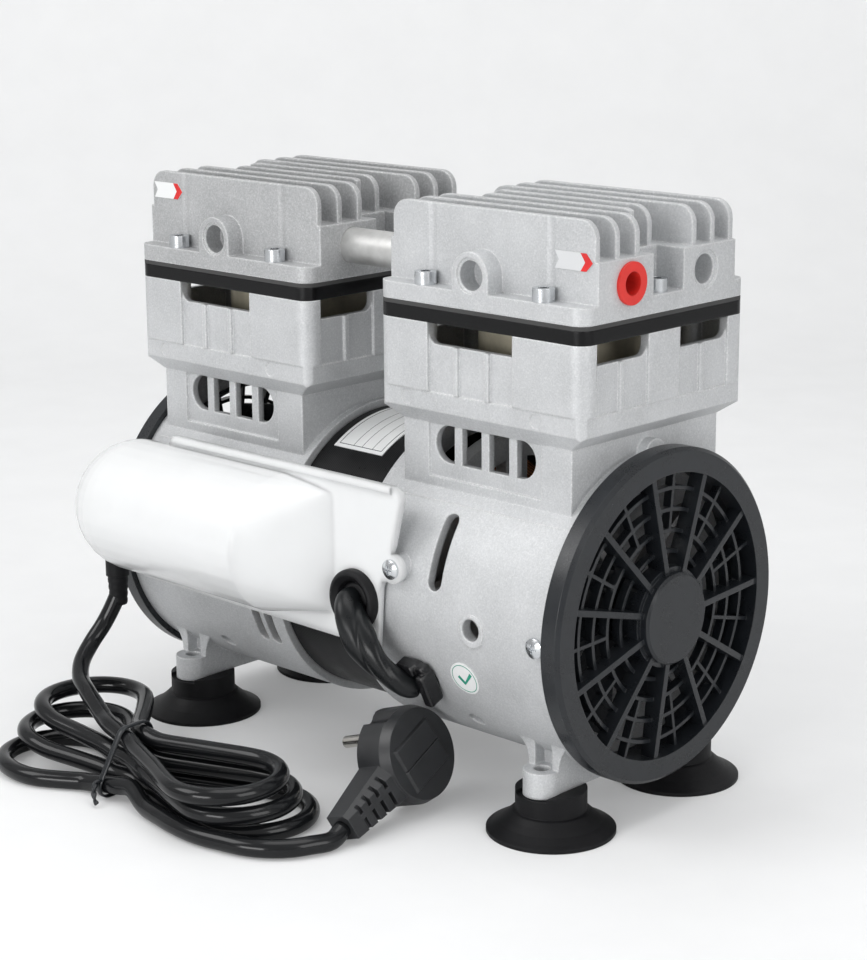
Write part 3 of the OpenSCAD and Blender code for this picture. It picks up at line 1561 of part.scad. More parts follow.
// The cord's free ends: from the cover down to the tie, and from the tie to the plug
drop_start = [gland_x, gland_y, shaft_z + gland_z - gland_l];
drop_points = concat(
    [for (step = drop_from_gland) drop_start + step],
    [for (step = drop_from_hank) [hank_x, hank_y, cord_d / 2] + step],
    [onward(hank_first, hank_in, cord_d), onward(hank_first, hank_in, fit_gap)]
);
relief_dir = [
    -sin(plug_yaw) * cos(plug_spin) - sin(plug_tilt) * cos(plug_yaw) * sin(plug_spin),
    cos(plug_yaw) * cos(plug_spin) - sin(plug_tilt) * sin(plug_yaw) * sin(plug_spin),
    cos(plug_tilt) * sin(plug_spin)
];
back_dir = [cos(plug_yaw) * cos(plug_tilt), sin(plug_yaw) * cos(plug_tilt), sin(plug_tilt)];
relief_end = plug_at - relief_depth * back_dir + relief_l * relief_dir;
tail_points = concat(
    [onward(hank_last, hank_end, fit_gap), onward(hank_last, hank_end, cord_d)],
    [for (step = tail_from_hank) [hank_x, hank_y, cord_d / 2] + step],
    [for (step = tail_from_plug) plug_at + step],
    [relief_end + cord_d * relief_dir, relief_end + fit_gap * relief_dir]
);

module cord_drop() {
    color("#101010") at_floor() swept_tube(drop_points, cord_d / 2, cord_sides, [1, 0, 0]);
}

module cord_hank() {
    color("#101010") at_floor() swept_tube(hank_points, cord_d / 2, hank_sides, [0, 0, 1]);
}

module cord_tail() {
    color("#101010") at_floor() swept_tube(tail_points, cord_d / 2, cord_sides, [0, 0, 1]);
}

// Outline of the tie around the bundle, as [across, height]
function tie_outline(grow) = let (
    r = cord_d / 2 + tie_gap + grow,
    low = cord_d / 2 + fit_gap + tie_t + tie_gap,
    high = low + (hank_loops - 1) * hank_pitch,
    near = -hank_waist - hank_aside
) concat(
    arc(near, low, r, 270, 170, 6), arc(-hank_waist, high, r, 150, 90, 5),
    arc(hank_waist, high, r, 90, 0, 5), arc(hank_waist, low, r, 0, -90, 5)
);

module cord_tie() {
    color("#080808") at_floor() translate([hank_x, hank_y, 0]) rotate([0, 0, hank_turn]) difference() {
        union() {
            prism_x(-tie_w / 2, tie_w / 2) polygon(tie_outline(tie_t));
            translate([0, -hank_waist - hank_aside, cord_d])
                block(-tie_w / 2, tie_w / 2, -cord_d, 0, 0, 2 * tie_t);
        }
        prism_x(-tie_w, tie_w) polygon(tie_outline(0));
    }
}

// Plug: X is square to its back, Y runs along the strain relief, Z along the line of the pins
module at_plug() {
    at_floor() translate(plug_at) rotate([0, 0, plug_yaw]) rotate([0, -plug_tilt, 0])
        rotate([plug_spin, 0, 0]) children();
}

module mains_plug() {
    color("#181818") at_plug() difference() {
        union() {
            turn_x() polygon([
                [0, -plug_t], [plug_r - plug_edge, -plug_t], [plug_r, plug_edge - plug_t],
                [plug_r, -plug_edge * 3], [plug_r - plug_edge, 0], [0, 0]
            ]);
            intersection() {
                translate([0, 0, -relief_neck]) linear_extrude(2 * relief_neck) polygon([
                    [-relief_depth - relief_neck, 0], [-relief_depth - relief_tip, relief_l],
                    [-relief_depth + relief_tip, relief_l], [-relief_depth + relief_neck, plug_r - plug_edge],
                    [-relief_depth + relief_neck, 0]
                ]);
                prism_x(-plug_t, 0) polygon([
                    [0, -relief_neck], [plug_r - plug_edge, -relief_neck], [relief_l, -relief_tip],
                    [relief_l, relief_tip], [plug_r - plug_edge, relief_neck], [0, relief_neck]
                ]);
                translate([-relief_depth, 0, 0]) rotate([0, 45, 0])
                    linear_extrude(4 * relief_neck, center = true) polygon([
                        [-relief_neck * relief_corner, 0], [-relief_tip * relief_corner, relief_l],
                        [relief_tip * relief_corner, relief_l], [relief_neck * relief_corner, 0]
                    ]);
            }
        }
        for (s = [-1, 1]) {
            translate([-plug_t - cut, 0, s * (plug_r + notch_r - notch_depth)])
                cyl_x(0, plug_t - 2 * plug_edge, notch_r);
            translate([0, 0, s * pin_offset]) cyl_x(-plug_t - cut, -plug_t + pin_seat, pin_r + fit_gap);
        }
        translate([0, -earth_y, 0]) cyl_x(-plug_t - cut, -plug_edge * 2, pin_r + fit_gap);
        for (s = [-1, 1], i = [0 : relief_slots - 1]) {
            y = plug_r + (i + 0.5) * (relief_l - plug_r) / (relief_slots + 1);
            block(-relief_depth + cord_d / 2 + cut, 0, y, y + relief_slot_w, s > 0 ? cut : -relief_neck,
                  s > 0 ? relief_neck : -cut);
        }
    }
}

module plug_pins() {
    color("silver") at_plug() for (s = [-1, 1]) translate([0, 0, s * pin_offset]) {
        cyl_x(-plug_t - pin_l + pin_tip, -plug_t + pin_seat, pin_r);
        translate([-plug_t - pin_l + pin_tip, 0, 0]) rotate([0, -90, 0])
            cylinder(h = pin_tip, r1 = pin_r, r2 = pin_r - pin_tip);
    }
}

crankcase_left();
crankcase_right();
cylinder_sleeve_left();
cylinder_sleeve_right();
valve_plate_left();
valve_plate_right();
head_gaskets();
cylinder_head_left();
cylinder_head_right();
head_screws();
reed_valves();
crossover_tube();
tube_orings();
stator_core();
stator_windings();
motor_bolts();
bearing_outer_rings();
fan_guard_left();
fan_guard_right();
panhead_screws();
capacitor();
capacitor_cover();
cover_grommet();
lead_sleeve();
lead_bush();
cord_gland();
suction_foot_front_left();
suction_foot_front_right();
suction_foot_rear_left();
suction_foot_rear_right();
foot_screws();
nameplate();
arrow_labels();
round_label();
exhaust_plug();
shaft();
rotor_core();
rotor_end_rings();
bearing_inner_rings();
eccentric_left();
eccentric_right();
set_screws();
fan_left();
fan_right();
connecting_rod_left();
rod_bearing_left();
cup_seal_left();
piston_cap_left();
connecting_rod_right();
rod_bearing_right();
cup_seal_right();
piston_cap_right();
cord_drop();
cord_hank();
cord_tail();
cord_tie();
mains_plug();
plug_pins();
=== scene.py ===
"""Looks for an oil-free twin-cylinder vacuum pump with a tied mains cord.

Tables are in millimetres, measured as in the CAD: from the middle of the pump at the
floor (FLOOR) or from the shaft axis (SHAFT). Meshes are made in metres.
"""
import math

import bmesh
import bpy
import numpy as np
from mathutils import Matrix, Vector
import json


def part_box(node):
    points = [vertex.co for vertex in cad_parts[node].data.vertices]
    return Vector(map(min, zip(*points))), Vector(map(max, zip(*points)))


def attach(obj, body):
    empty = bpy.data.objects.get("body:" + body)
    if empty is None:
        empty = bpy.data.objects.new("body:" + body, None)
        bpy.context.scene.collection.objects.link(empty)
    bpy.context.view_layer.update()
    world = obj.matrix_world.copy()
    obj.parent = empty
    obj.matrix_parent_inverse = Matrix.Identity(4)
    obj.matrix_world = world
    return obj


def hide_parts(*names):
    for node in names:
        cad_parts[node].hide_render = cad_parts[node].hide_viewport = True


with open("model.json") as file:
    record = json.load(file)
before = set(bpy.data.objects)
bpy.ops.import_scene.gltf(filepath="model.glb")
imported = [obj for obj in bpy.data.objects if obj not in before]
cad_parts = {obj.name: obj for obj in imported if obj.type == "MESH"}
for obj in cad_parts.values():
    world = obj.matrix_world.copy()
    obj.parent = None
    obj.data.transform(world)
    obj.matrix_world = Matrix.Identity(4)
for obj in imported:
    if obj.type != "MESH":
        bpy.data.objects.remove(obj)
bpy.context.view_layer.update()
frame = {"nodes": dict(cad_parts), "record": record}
NODES = frame["nodes"]

MM = 0.001
AXIS_Y = 16.25
SHAFT_Z = 81.5
FLOOR = np.array([0.0, AXIS_Y, 0.0])
SHAFT = np.array([0.0, AXIS_Y, SHAFT_Z])


# Camera

PIXELS_HIGH = 960
FOCAL_PIXELS = 2324.08
CAMERA_AT = (646.178, -655.698, 348.974)
CAMERA_AXES = (
    (0.723430, 0.690367, -0.006483),
    (-0.164333, 0.181308, 0.969599),
    (0.670555, -0.700372, 0.244613),
)


def make_camera():
    data = bpy.data.cameras.new("camera")
    data.sensor_fit = "VERTICAL"
    data.sensor_height = 36.0
    data.lens = FOCAL_PIXELS * data.sensor_height / PIXELS_HIGH
    data.clip_start = 0.05
    data.clip_end = 20
    camera = bpy.data.objects.new("camera", data)
    bpy.context.scene.collection.objects.link(camera)
    turn = Matrix(CAMERA_AXES).transposed().to_4x4()
    camera.matrix_world = Matrix.Translation(Vector(CAMERA_AT) * MM) @ turn
    bpy.context.scene.camera = camera


make_camera()


# Mesh helpers

def unit(v):
    v = np.asarray(v, float)
    return v / max(np.linalg.norm(v), 1e-12)


def new_object(name, verts, faces, smooth=True):
    """A mesh object from points in millimetres."""
    mesh = bpy.data.meshes.new(name)
    points = [tuple(np.asarray(v, float) * MM) for v in verts]
    mesh.from_pydata(points, [], [tuple(f) for f in faces])
    mesh.validate()
    bm = bmesh.new()
    bm.from_mesh(mesh)
    bmesh.ops.recalc_face_normals(bm, faces=bm.faces)
    bm.to_mesh(mesh)
    bm.free()
    mesh.polygons.foreach_set("use_smooth", [smooth] * len(mesh.polygons))
    obj = bpy.data.objects.new(name, mesh)
    bpy.context.scene.collection.objects.link(obj)
    return obj


def spline(points, step):
    """Centripetal curve through the points, with a point about every step."""
    p = np.array(points, float)
    p = np.vstack([2 * p[0] - p[1], p, 2 * p[-1] - p[-2]])
    out = []
    for i in range(1, len(p) - 2):
        p0, p1, p2, p3 = p[i - 1:i + 3]
        t1 = np.linalg.norm(p1 - p0) ** 0.5
        t2 = t1 + np.linalg.norm(p2 - p1) ** 0.5
        t3 = t2 + np.linalg.norm(p3 - p2) ** 0.5
        count = max(2, math.ceil(np.linalg.norm(p2 - p1) / step))
        for k in range(count):
            t = t1 + (t2 - t1) * k / count
            a1 = ((t1 - t) * p0 + t * p1) / t1
            a2 = ((t2 - t) * p1 + (t - t1) * p2) / (t2 - t1)
            a3 = ((t3 - t) * p2 + (t - t2) * p3) / (t3 - t2)
            b1 = ((t2 - t) * a1 + t * a2) / t2
            b2 = ((t3 - t) * a2 + (t - t1) * a3) / (t3 - t1)
            out.append(((t2 - t) * b1 + (t - t1) * b2) / (t2 - t1))
    out.append(p[-2])
    return np.array(out)


def directions(path):
    """Unit tangent at each point of a path."""
    d = np.empty_like(path)
    d[1:-1] = path[2:] - path[:-2]
    d[0], d[-1] = path[1] - path[0], path[-1] - path[-2]
    return d / np.linalg.norm(d, axis=1)[:, None]


def tube(name, path, section, sides=24, start=(0, 0, 1)):
    """Mesh tube round a path.

    section(share, angle) gives the radius in millimetres; start is the way of angle zero.
    """
    path = np.asarray(path, float)
    d = directions(path)
    along = np.concatenate([[0], np.cumsum(np.linalg.norm(np.diff(path, axis=0), axis=1))])
    u = np.asarray(start, float)
    verts, faces = [], []
    for i, at in enumerate(path):
        u = unit(u - np.dot(u, d[i]) * d[i])
        v = np.cross(d[i], u)
        for k in range(sides):
            a = 2 * math.pi * k / sides
            r = section(along[i] / along[-1], a)
            verts.append(at + r * (math.cos(a) * u + math.sin(a) * v))
    for i in range(len(path) - 1):
        for k in range(sides):
            a, b = i * sides + k, i * sides + (k + 1) % sides
            faces.append((a, b, b + sides, a + sides))
    faces.append(tuple(range(sides)))
    faces.append(tuple((len(path) - 1) * sides + k for k in range(sides)))
    return new_object(name, verts, faces)


def ride(obj, look):
    """The piece takes a look and a material slot, and moves with the housing."""
    obj.data.materials.clear()
    obj.data.materials.append(look)
    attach(obj, "housing")
    return obj


# Materials

class Look:
    """Node tree round one Principled shader, fed by object coordinates in metres."""

    def __init__(self, name, color, rough, metallic=0.0, coat=0.0, coat_rough=0.05, specular=0.5):
        self.material = bpy.data.materials.new(name)
        self.material.use_nodes = True
        self.tree = self.material.node_tree
        self.shader = self.tree.nodes["Principled BSDF"]
        self.set("Base Color", (*color, 1.0))
        self.set("Roughness", rough)
        self.set("Metallic", metallic)
        self.set("Coat Weight", coat)
        self.set("Coat Roughness", coat_rough)
        self.set("Specular IOR Level", specular)
        self.coords = self.node("ShaderNodeTexCoord").outputs["Object"]
        self.normal = None

    def node(self, kind, **values):
        """New node; a value is set on the node itself or on the input of that name."""
        made = self.tree.nodes.new(kind)
        for key, value in values.items():
            if hasattr(made, key):
                setattr(made, key, value)
            else:
                made.inputs[key.replace("_", " ")].default_value = value
        return made

    def link(self, a, b):
        self.tree.links.new(a, b)

    def set(self, socket, value):
        self.shader.inputs[socket].default_value = value

    def scaled(self, x=1.0, y=1.0, z=1.0):
        mapping = self.node("ShaderNodeMapping")
        mapping.inputs["Scale"].default_value = (x, y, z)
        self.link(self.coords, mapping.inputs["Vector"])
        return mapping.outputs["Vector"]

    def noise(self, size, detail=3.0, rough=0.55, vector=None):
        """Noise whose spots are about size millimetres across."""
        n = self.node("ShaderNodeTexNoise", Scale=1000.0 / size, Detail=detail, Roughness=rough)
        self.link(vector or self.coords, n.inputs["Vector"])
        return n.outputs["Fac"]

    def cells(self, size):
        """Random value per cell, with cells about size millimetres across."""
        n = self.node("ShaderNodeTexVoronoi", feature="F1", Scale=1000.0 / size)
        self.link(self.coords, n.inputs["Vector"])
        return n.outputs["Color"]

    def ramp(self, fac, low, high, a=0.0, b=1.0):
        """Carries the span low to high over to the span a to b, and clamps it."""
        m = self.node("ShaderNodeMapRange", From_Min=low, From_Max=high, To_Min=a, To_Max=b)
        self.link(fac, m.inputs["Value"])
        return m.outputs["Result"]

    def math(self, kind, a, b):
        m = self.node("ShaderNodeMath", operation=kind)
        for socket, value in zip(m.inputs, (a, b)):
            if isinstance(value, (int, float)):
                socket.default_value = value
            else:
                self.link(value, socket)
        return m.outputs["Value"]

    def mix(self, fac, a, b):
        """Mixes two colours, each a socket or three numbers."""
        m = self.node("ShaderNodeMix", data_type="RGBA")
        for socket, value in ((m.inputs[0], fac), (m.inputs[6], a), (m.inputs[7], b)):
            if isinstance(value, tuple):
                socket.default_value = (*value, 1.0)
            elif isinstance(value, (int, float)):
                socket.default_value = value
            else:
                self.link(value, socket)
        return m.outputs[2]

    def paint(self, color):
        self.link(color, self.shader.inputs["Base Color"])

    def roughness(self, value):
        self.link(value, self.shader.inputs["Roughness"])

    def bump(self, height, depth, strength):
        """Adds a relief that is depth millimetres high."""
        b = self.node("ShaderNodeBump", Strength=strength, Distance=depth * MM)
        self.link(height, b.inputs["Height"])
        if self.normal is not None:
            self.link(self.normal, b.inputs["Normal"])
        self.normal = b.outputs["Normal"]
        self.link(self.normal, self.shader.inputs["Normal"])

    def round_edges(self, radius):
        """Softens sharp edges in the shading, as on a casting, and returns a mask of them."""
        b = self.node("ShaderNodeBevel", samples=4)
        b.inputs["Radius"].default_value = radius * MM
        self.normal = b.outputs["Normal"]
        self.link(self.normal, self.shader.inputs["Normal"])
        geometry = self.node("ShaderNodeNewGeometry")
        dot = self.node("ShaderNodeVectorMath", operation="DOT_PRODUCT")
        self.link(b.outputs["Normal"], dot.inputs[0])
        self.link(geometry.outputs["Normal"], dot.inputs[1])
        return self.ramp(dot.outputs["Value"], 0.97, 0.75)


def spread(look, noise, a=0.0, b=1.0):
    """The middle part of a noise, carried over to the span a to b."""
    return look.ramp(noise, 0.3, 0.7, a, b)


def scaled_color(color, share):
    return tuple(min(1.0, c * share) for c in color)


def cast_paint(name, low, high):
    """Sand-cast aluminium, painted silver: grain, with a painted highlight along the edges and
    painted glints of flakes near them.
    """
    look = Look(name, high, 0.55, metallic=0.4, specular=0.4)
    edge = look.round_edges(1.2)
    broad = look.noise(22, 3)
    grain = look.noise(0.75, 4, 0.7)
    flake = look.cells(0.55)
    tone = look.mix(spread(look, broad), low, high)
    tone = look.mix(look.ramp(grain, 0.3, 0.72, 0.0, 0.45), tone, (0.76, 0.77, 0.78))
    # Painted highlight: the edges are mixed towards a near-white grey.
    tone = look.mix(look.math("MULTIPLY", edge, 0.7), tone, (0.9, 0.905, 0.91))
    # Painted glints: white flakes, mostly near the edges.
    glint_reach = look.ramp(edge, 0.0, 1.0, 0.14, 1.0)
    painted_glint = look.math("MULTIPLY", look.ramp(flake, 0.6, 0.85), glint_reach)
    look.paint(look.mix(painted_glint, tone, (1.0, 1.0, 1.0)))
    look.roughness(spread(look, grain, 0.66, 0.46))
    look.bump(broad, 0.25, 0.35)
    look.bump(grain, 0.12, 0.55)
    return look.material


def plain(name, color, rough, dark=0.85, light=1.15, spot=9, grain=0.5, relief=0.02, edge=0.3,
          edge_highlight=None, **shader):
    """Moulded or painted surface with mottled colour, roughness and fine relief.

    dark and light scale the colour in its spots; spot, grain, relief and edge are millimetres. The
    colour given for the edges is a painted highlight mixed in along them.
    """
    look = Look(name, color, rough, **shader)
    mask = look.round_edges(edge)
    broad = look.noise(spot, 3)
    fine = look.noise(grain, 3)
    tone = look.mix(spread(look, broad), scaled_color(color, dark), scaled_color(color, light))
    # Painted highlight along the edges.
    if edge_highlight:
        tone = look.mix(look.math("MULTIPLY", mask, 0.5), tone, edge_highlight)
    look.paint(tone)
    patches = spread(look, broad, rough * 0.88, rough * 1.08)
    look.roughness(look.math("ADD", patches, spread(look, fine, -0.03, 0.05)))
    look.bump(fine, relief, 0.5)
    return look.material


def brushed(name, color, rough, stretch=(1, 1, 12), relief=0.01, size=0.5):
    """Turned, ground or drawn metal with fine lines along one way, and a painted highlight along
    its edges.
    """
    look = Look(name, color, rough, metallic=1.0)
    mask = look.round_edges(0.2)
    lines = look.noise(size, 2, vector=look.scaled(*stretch))
    broad = look.noise(7, 3)
    tone = look.mix(spread(look, broad), scaled_color(color, 0.88), scaled_color(color, 1.08))
    # Painted highlight: the edges are lighter.
    tone = look.mix(look.math("MULTIPLY", mask, 0.5), tone, scaled_color(color, 1.25))
    look.paint(tone)
    look.roughness(look.ramp(lines, 0.25, 0.75, rough * 0.75, rough * 1.3))
    look.bump(lines, relief, 0.4)
    return look.material


def wound_copper():
    """Enamelled wire, wound in rings round the shaft."""
    look = Look("wound_copper", (0.55, 0.22, 0.09), 0.35, metallic=0.8, coat=0.4)
    look.round_edges(1.0)
    wave = look.node("ShaderNodeTexWave", wave_type="RINGS", rings_direction="X", Scale=280.0,
                     Distortion=3.0, Detail=2.0)
    wave.inputs["Detail Scale"].default_value = 1.5
    mapping = look.node("ShaderNodeMapping")
    mapping.inputs["Location"].default_value = (0, -AXIS_Y * MM, -SHAFT_Z * MM)
    look.link(look.coords, mapping.inputs["Vector"])
    look.link(mapping.outputs["Vector"], wave.inputs["Vector"])
    look.paint(look.mix(wave.outputs["Fac"], (0.28, 0.09, 0.03), (0.72, 0.32, 0.13)))
    look.bump(wave.outputs["Fac"], 0.5, 0.8)
    return look.material


def laminated():
    """Stack of sheets under black varnish, with fine bands along the shaft."""
    look = Look("laminated_black", (0.008, 0.008, 0.009), 0.3, specular=0.22)
    look.round_edges(0.4)
    wave = look.node("ShaderNodeTexWave", bands_direction="X", Scale=320.0, Distortion=0.6)
    look.link(look.coords, wave.inputs["Vector"])
    broad = look.noise(12, 3)
    look.paint(look.mix(spread(look, broad), (0.005, 0.005, 0.0055), (0.011, 0.011, 0.012)))
    look.roughness(spread(look, broad, 0.26, 0.4))
    look.bump(wave.outputs["Fac"], 0.06, 0.5)
    return look.material


def port_label():
    """Label film that is white at the left port and silver at the right one."""
    white, silver = (0.82, 0.83, 0.83), (0.66, 0.67, 0.68)
    look = Look("port_label_film", white, 0.38)
    look.round_edges(0.1)
    split = look.node("ShaderNodeSeparateXYZ")
    look.link(look.coords, split.inputs["Vector"])
    look.paint(look.mix(look.ramp(split.outputs["X"], -0.01, 0.01), white, silver))
    fine = look.noise(0.6, 3)
    look.roughness(spread(look, fine, 0.33, 0.45))
    look.bump(fine, 0.01, 0.5)
    return look.material


SILVER = cast_paint("silver_cast", (0.46, 0.47, 0.48), (0.56, 0.57, 0.58))
# Darker copy of the silver paint for the left head: painted shade on it.
SHADED_SILVER = cast_paint("silver_cast_painted_shade", (0.33, 0.335, 0.34), (0.42, 0.425, 0.43))
# In the materials below, a colour given for the edges is a painted highlight.
BLACK_PAINT = plain("black_paint", (0.004, 0.004, 0.0045), 0.2,
                    edge=0.9, relief=0.02, edge_highlight=(0.03, 0.03, 0.032), specular=0.25)
BLACK_PLASTIC = plain("black_plastic", (0.011, 0.013, 0.016), 0.3,
                      edge=0.4, relief=0.015, edge_highlight=(0.05, 0.055, 0.06))
RUBBER = plain("black_rubber", (0.006, 0.006, 0.007), 0.5,
               edge=0.5, relief=0.04, spot=14, edge_highlight=(0.026, 0.026, 0.028), specular=0.22)
BLACK_GLOSS = plain("black_gloss", (0.006, 0.006, 0.007), 0.16,
                    edge=0.8, relief=0.05, spot=5, grain=2.5)
SLEEVE = plain("sleeve_vinyl", (0.008, 0.009, 0.01), 0.3,
               edge=0.3, relief=0.06, spot=8, grain=3.0, specular=0.3)
INK = plain("dark_ink", (0.03, 0.035, 0.045), 0.5, relief=0.004)
GREEN_INK = plain("green_ink", (0.02, 0.3, 0.2), 0.5, relief=0.004)
RED_INK = plain("red_ink", (0.7, 0.02, 0.02), 0.45, relief=0.004)
GASKET = plain("gasket_fibre", (0.05, 0.05, 0.05), 0.8, relief=0.06, grain=0.8)
WHITE_COVER = plain("white_enamel", (0.79, 0.8, 0.805), 0.2,
                    dark=0.98, light=1.02, spot=30, grain=1.4, relief=0.02, edge=5.0,
                    coat=0.4, coat_rough=0.1)
WHITE_LABEL = plain("label_film", (0.82, 0.83, 0.83), 0.35,
                    dark=0.97, light=1.02, relief=0.01, edge=0.1)
RED = plain("red_plastic", (0.72, 0.03, 0.022), 0.42, dark=0.92, light=1.06, relief=0.02)
SEAL = plain("seal_plastic", (0.4, 0.29, 0.17), 0.5)
CAP_CAN = plain("capacitor_can", (0.72, 0.73, 0.74), 0.35, dark=0.96, light=1.03)
CORD = plain("cord_vinyl", (0.007, 0.0075, 0.0085), 0.2,
             spot=18, relief=0.012, edge=0.1, coat=0.3, coat_rough=0.08, specular=0.2)
PLUG = plain("plug_vinyl", (0.024, 0.025, 0.027), 0.36,
             relief=0.03, edge=0.5, edge_highlight=(0.09, 0.09, 0.095))
ZINC = brushed("zinc_plate", (0.66, 0.68, 0.7), 0.2, (1, 1, 1), relief=0.002, size=3.0)
SPRING = brushed("spring_steel", (0.5, 0.51, 0.53), 0.28)
GROUND = brushed("ground_steel", (0.56, 0.57, 0.58), 0.22, (12, 1, 1))
IRON = plain("cast_iron", (0.16, 0.16, 0.165), 0.55, metallic=0.7, relief=0.1, grain=0.9)
ALUMINIUM = brushed("bare_aluminium", (0.68, 0.68, 0.67), 0.5, (1, 6, 6))
ANODISED = plain("hard_anodised", (0.52, 0.48, 0.37), 0.4, metallic=0.3)
NICKEL = brushed("nickel_plate", (0.7, 0.68, 0.64), 0.2, (1, 1, 1))
COPPER = wound_copper()
LAMINATED = laminated()

LOOKS = {
    "silver_paint": SILVER, "black_paint": BLACK_PAINT, "anodised_aluminium": ANODISED,
    "bare_aluminium": ALUMINIUM, "gasket": GASKET, "zinc_steel": ZINC, "spring_steel": SPRING,
    "bearing_steel": GROUND, "cast_iron": IRON, "copper_wire": COPPER, "black_rubber": RUBBER,
    "black_plastic": BLACK_PLASTIC, "white_plastic": WHITE_COVER, "white_label": WHITE_LABEL,
    "red_plastic": RED, "seal_plastic": SEAL, "cord_plastic": PLUG, "pin_nickel": NICKEL,
}
NODE_LOOKS = {
    "stator_core": LAMINATED, "capacitor": CAP_CAN, "arrow_labels": port_label(),
    "cylinder_head_left": SHADED_SILVER,
}


def dress_nodes():
    """Gives each CAD piece the look of its record's material slot, or its own."""
    slots = {part["node"]: part["material_slot"] for part in frame["record"]["subparts"]}
    for name, obj in NODES.items():
        look = NODE_LOOKS.get(name, LOOKS[slots[name]])
        if not obj.material_slots:
            obj.data.materials.append(look)
        for slot in obj.material_slots:
            slot.material = look


dress_nodes()


# Cords

CORD_R = 3.6
CORD_D = 2 * CORD_R
FLOOR_GAP = 0.05
# The hank's tie, and the height from one loop to the next
HANK_AT = np.array([-50.0, -119.5])
PITCH = 8.2
# Half the width between a loop's two runs at the tie, and the bend radius beside it
WAIST, NECK_R = 4.1, 28.0
# Reach, bend radius and turn of the hank's lobes, upper loop first
HANK_RIGHT = [(78, 22, -2), (81, 22, 2), (84, 22, 8)]
HANK_LEFT = [(73, 21.5, -20), (69, 21.5, -9), (66, 21.5, 8)]
HANK_EXIT = -10
# How far the last run moves out of its lobe's line on its way to the plug
EXIT_SHIFT = 11
TIE_T, TIE_GAP = 1.2, 0.6
TIE_TURN = math.radians(3)
DROP = [
    [-108, -79, 68.8], [-108, -79, 61.6], [-109, -81, 56], [-111, -85, 48], [-111.5, -92, 40.5],
    [-108, -100, 35], [-100, -107, 31], [-90, -111.5, 28.8], [-80, -115, 26.2], [-72, -117.6, 23.8],
]
TAIL = [
    [-24, -136.5, 3.8], [-12, -139.2, 3.8], [2, -141.3, 3.8], [14, -141.3, 3.8],
    [25.5, -138.9, 3.8], [34.2, -136.6, 3.8], [42, -132.4, 3.8], [48.2, -126.2, 3.8],
    [52, -119, 3.9],
]
# Middle of the plug's back, the steps from there to where the cord enters, and its turns
PLUG_AT = np.array([54.3, -61.0, 24.7])
ENTRY_DEPTH, ENTRY_REACH = 9.0, 45.5
PLUG_YAW, PLUG_TILT, PLUG_SPIN = (math.radians(a) for a in (3.0, 18.6, 201.2))


def plug_axes():
    """The plug's outward back, its strain relief's way and the line of its pins."""
    turn = (Matrix.Rotation(PLUG_YAW, 3, "Z") @ Matrix.Rotation(-PLUG_TILT, 3, "Y")
            @ Matrix.Rotation(PLUG_SPIN, 3, "X"))
    return [np.array(turn @ Vector(v)) for v in ((1, 0, 0), (0, 1, 0), (0, 0, 1))]


PLUG_BACK, PLUG_OUT, PLUG_PINS = plug_axes()
RELIEF_END = PLUG_AT - ENTRY_DEPTH * PLUG_BACK + ENTRY_REACH * PLUG_OUT


def eased(q):
    """Smooth step from 0 to 1."""
    s = max(0.0, min(1.0, q))
    return s * s * (3 - 2 * s)


def arc(cx, cy, r, a0, a1, count):
    """Points on an arc between two angles in degrees."""
    turns = [math.radians(a0 + (a1 - a0) * i / count) for i in range(count + 1)]
    return [(cx + r * math.cos(a), cy + r * math.sin(a)) for a in turns]


def half_lobe(reach, r):
    """Half a lobe of the hank from the waist to the tip, as two arcs and a straight."""
    cx, cy = reach - r, WAIST + NECK_R
    a = math.degrees(math.asin((NECK_R + r) / math.hypot(cx, cy)) - math.atan2(cy, cx))
    neck = arc(0, cy, NECK_R, -90, a - 90, 3)
    tip = arc(cx, 0, r, 90 + a, 0, 6)
    middle = ((neck[-1][0] + tip[0][0]) / 2, (neck[-1][1] + tip[0][1]) / 2)
    return neck + [middle] + tip


def one_loop(k):
    """One loop as x, y and the share of the way from the left tip back to the waist."""
    right, left = half_lobe(*HANK_RIGHT[k][:2]), half_lobe(*HANK_LEFT[k][:2])
    n = len(right) - 1
    run = [(x, -y, 0) for x, y in right[1 if k else 0:]]
    run += [(x, y, 0) for x, y in right[n - 1::-1]]
    run += [(-x, y, 0) for x, y in left[1:]]
    return run + [(-left[i][0], -left[i][1], 1 - i / n) for i in range(n - 1, -1, -1)]


def hank_place(k, x, y, share):
    """Place of a point of loop k. The run back to the waist sinks to the next loop's level."""
    last = k == 2
    sunk = eased((share - 0.3) / 0.65)
    turn = HANK_RIGHT[k][2] if share == 0 else HANK_EXIT if last else HANK_RIGHT[k + 1][2]
    level = k if last else k + sunk
    y -= EXIT_SHIFT * sunk if last else 0
    a = math.radians(HANK_LEFT[k][2] + (turn - HANK_LEFT[k][2]) * eased((x / 30 + 1) / 2))
    # The runs pass over the tie's lower side
    lift = (TIE_T + TIE_GAP) * math.exp(-(x / 8) ** 2)
    return np.array([
        HANK_AT[0] + x * math.cos(a) - y * math.sin(a),
        HANK_AT[1] + x * math.sin(a) + y * math.cos(a),
        CORD_R + FLOOR_GAP + lift + (2 - level) * PITCH,
    ])


def cord_path():
    """Middle line of the mains cord from the cover through the hank to the plug."""
    runs = [hank_place(k, *point) for k in range(3) for point in one_loop(k)]
    into, out = unit(runs[0] - runs[1]), unit(runs[-1] - runs[-2])
    route = DROP + [runs[0] + 2 * CORD_D * into, runs[0] + CORD_D * into] + runs
    route += [runs[-1] + CORD_D * out, runs[-1] + 2 * CORD_D * out]
    route += TAIL + [RELIEF_END + CORD_D * PLUG_OUT, RELIEF_END]
    return spline(np.array(route, float), 2.4)


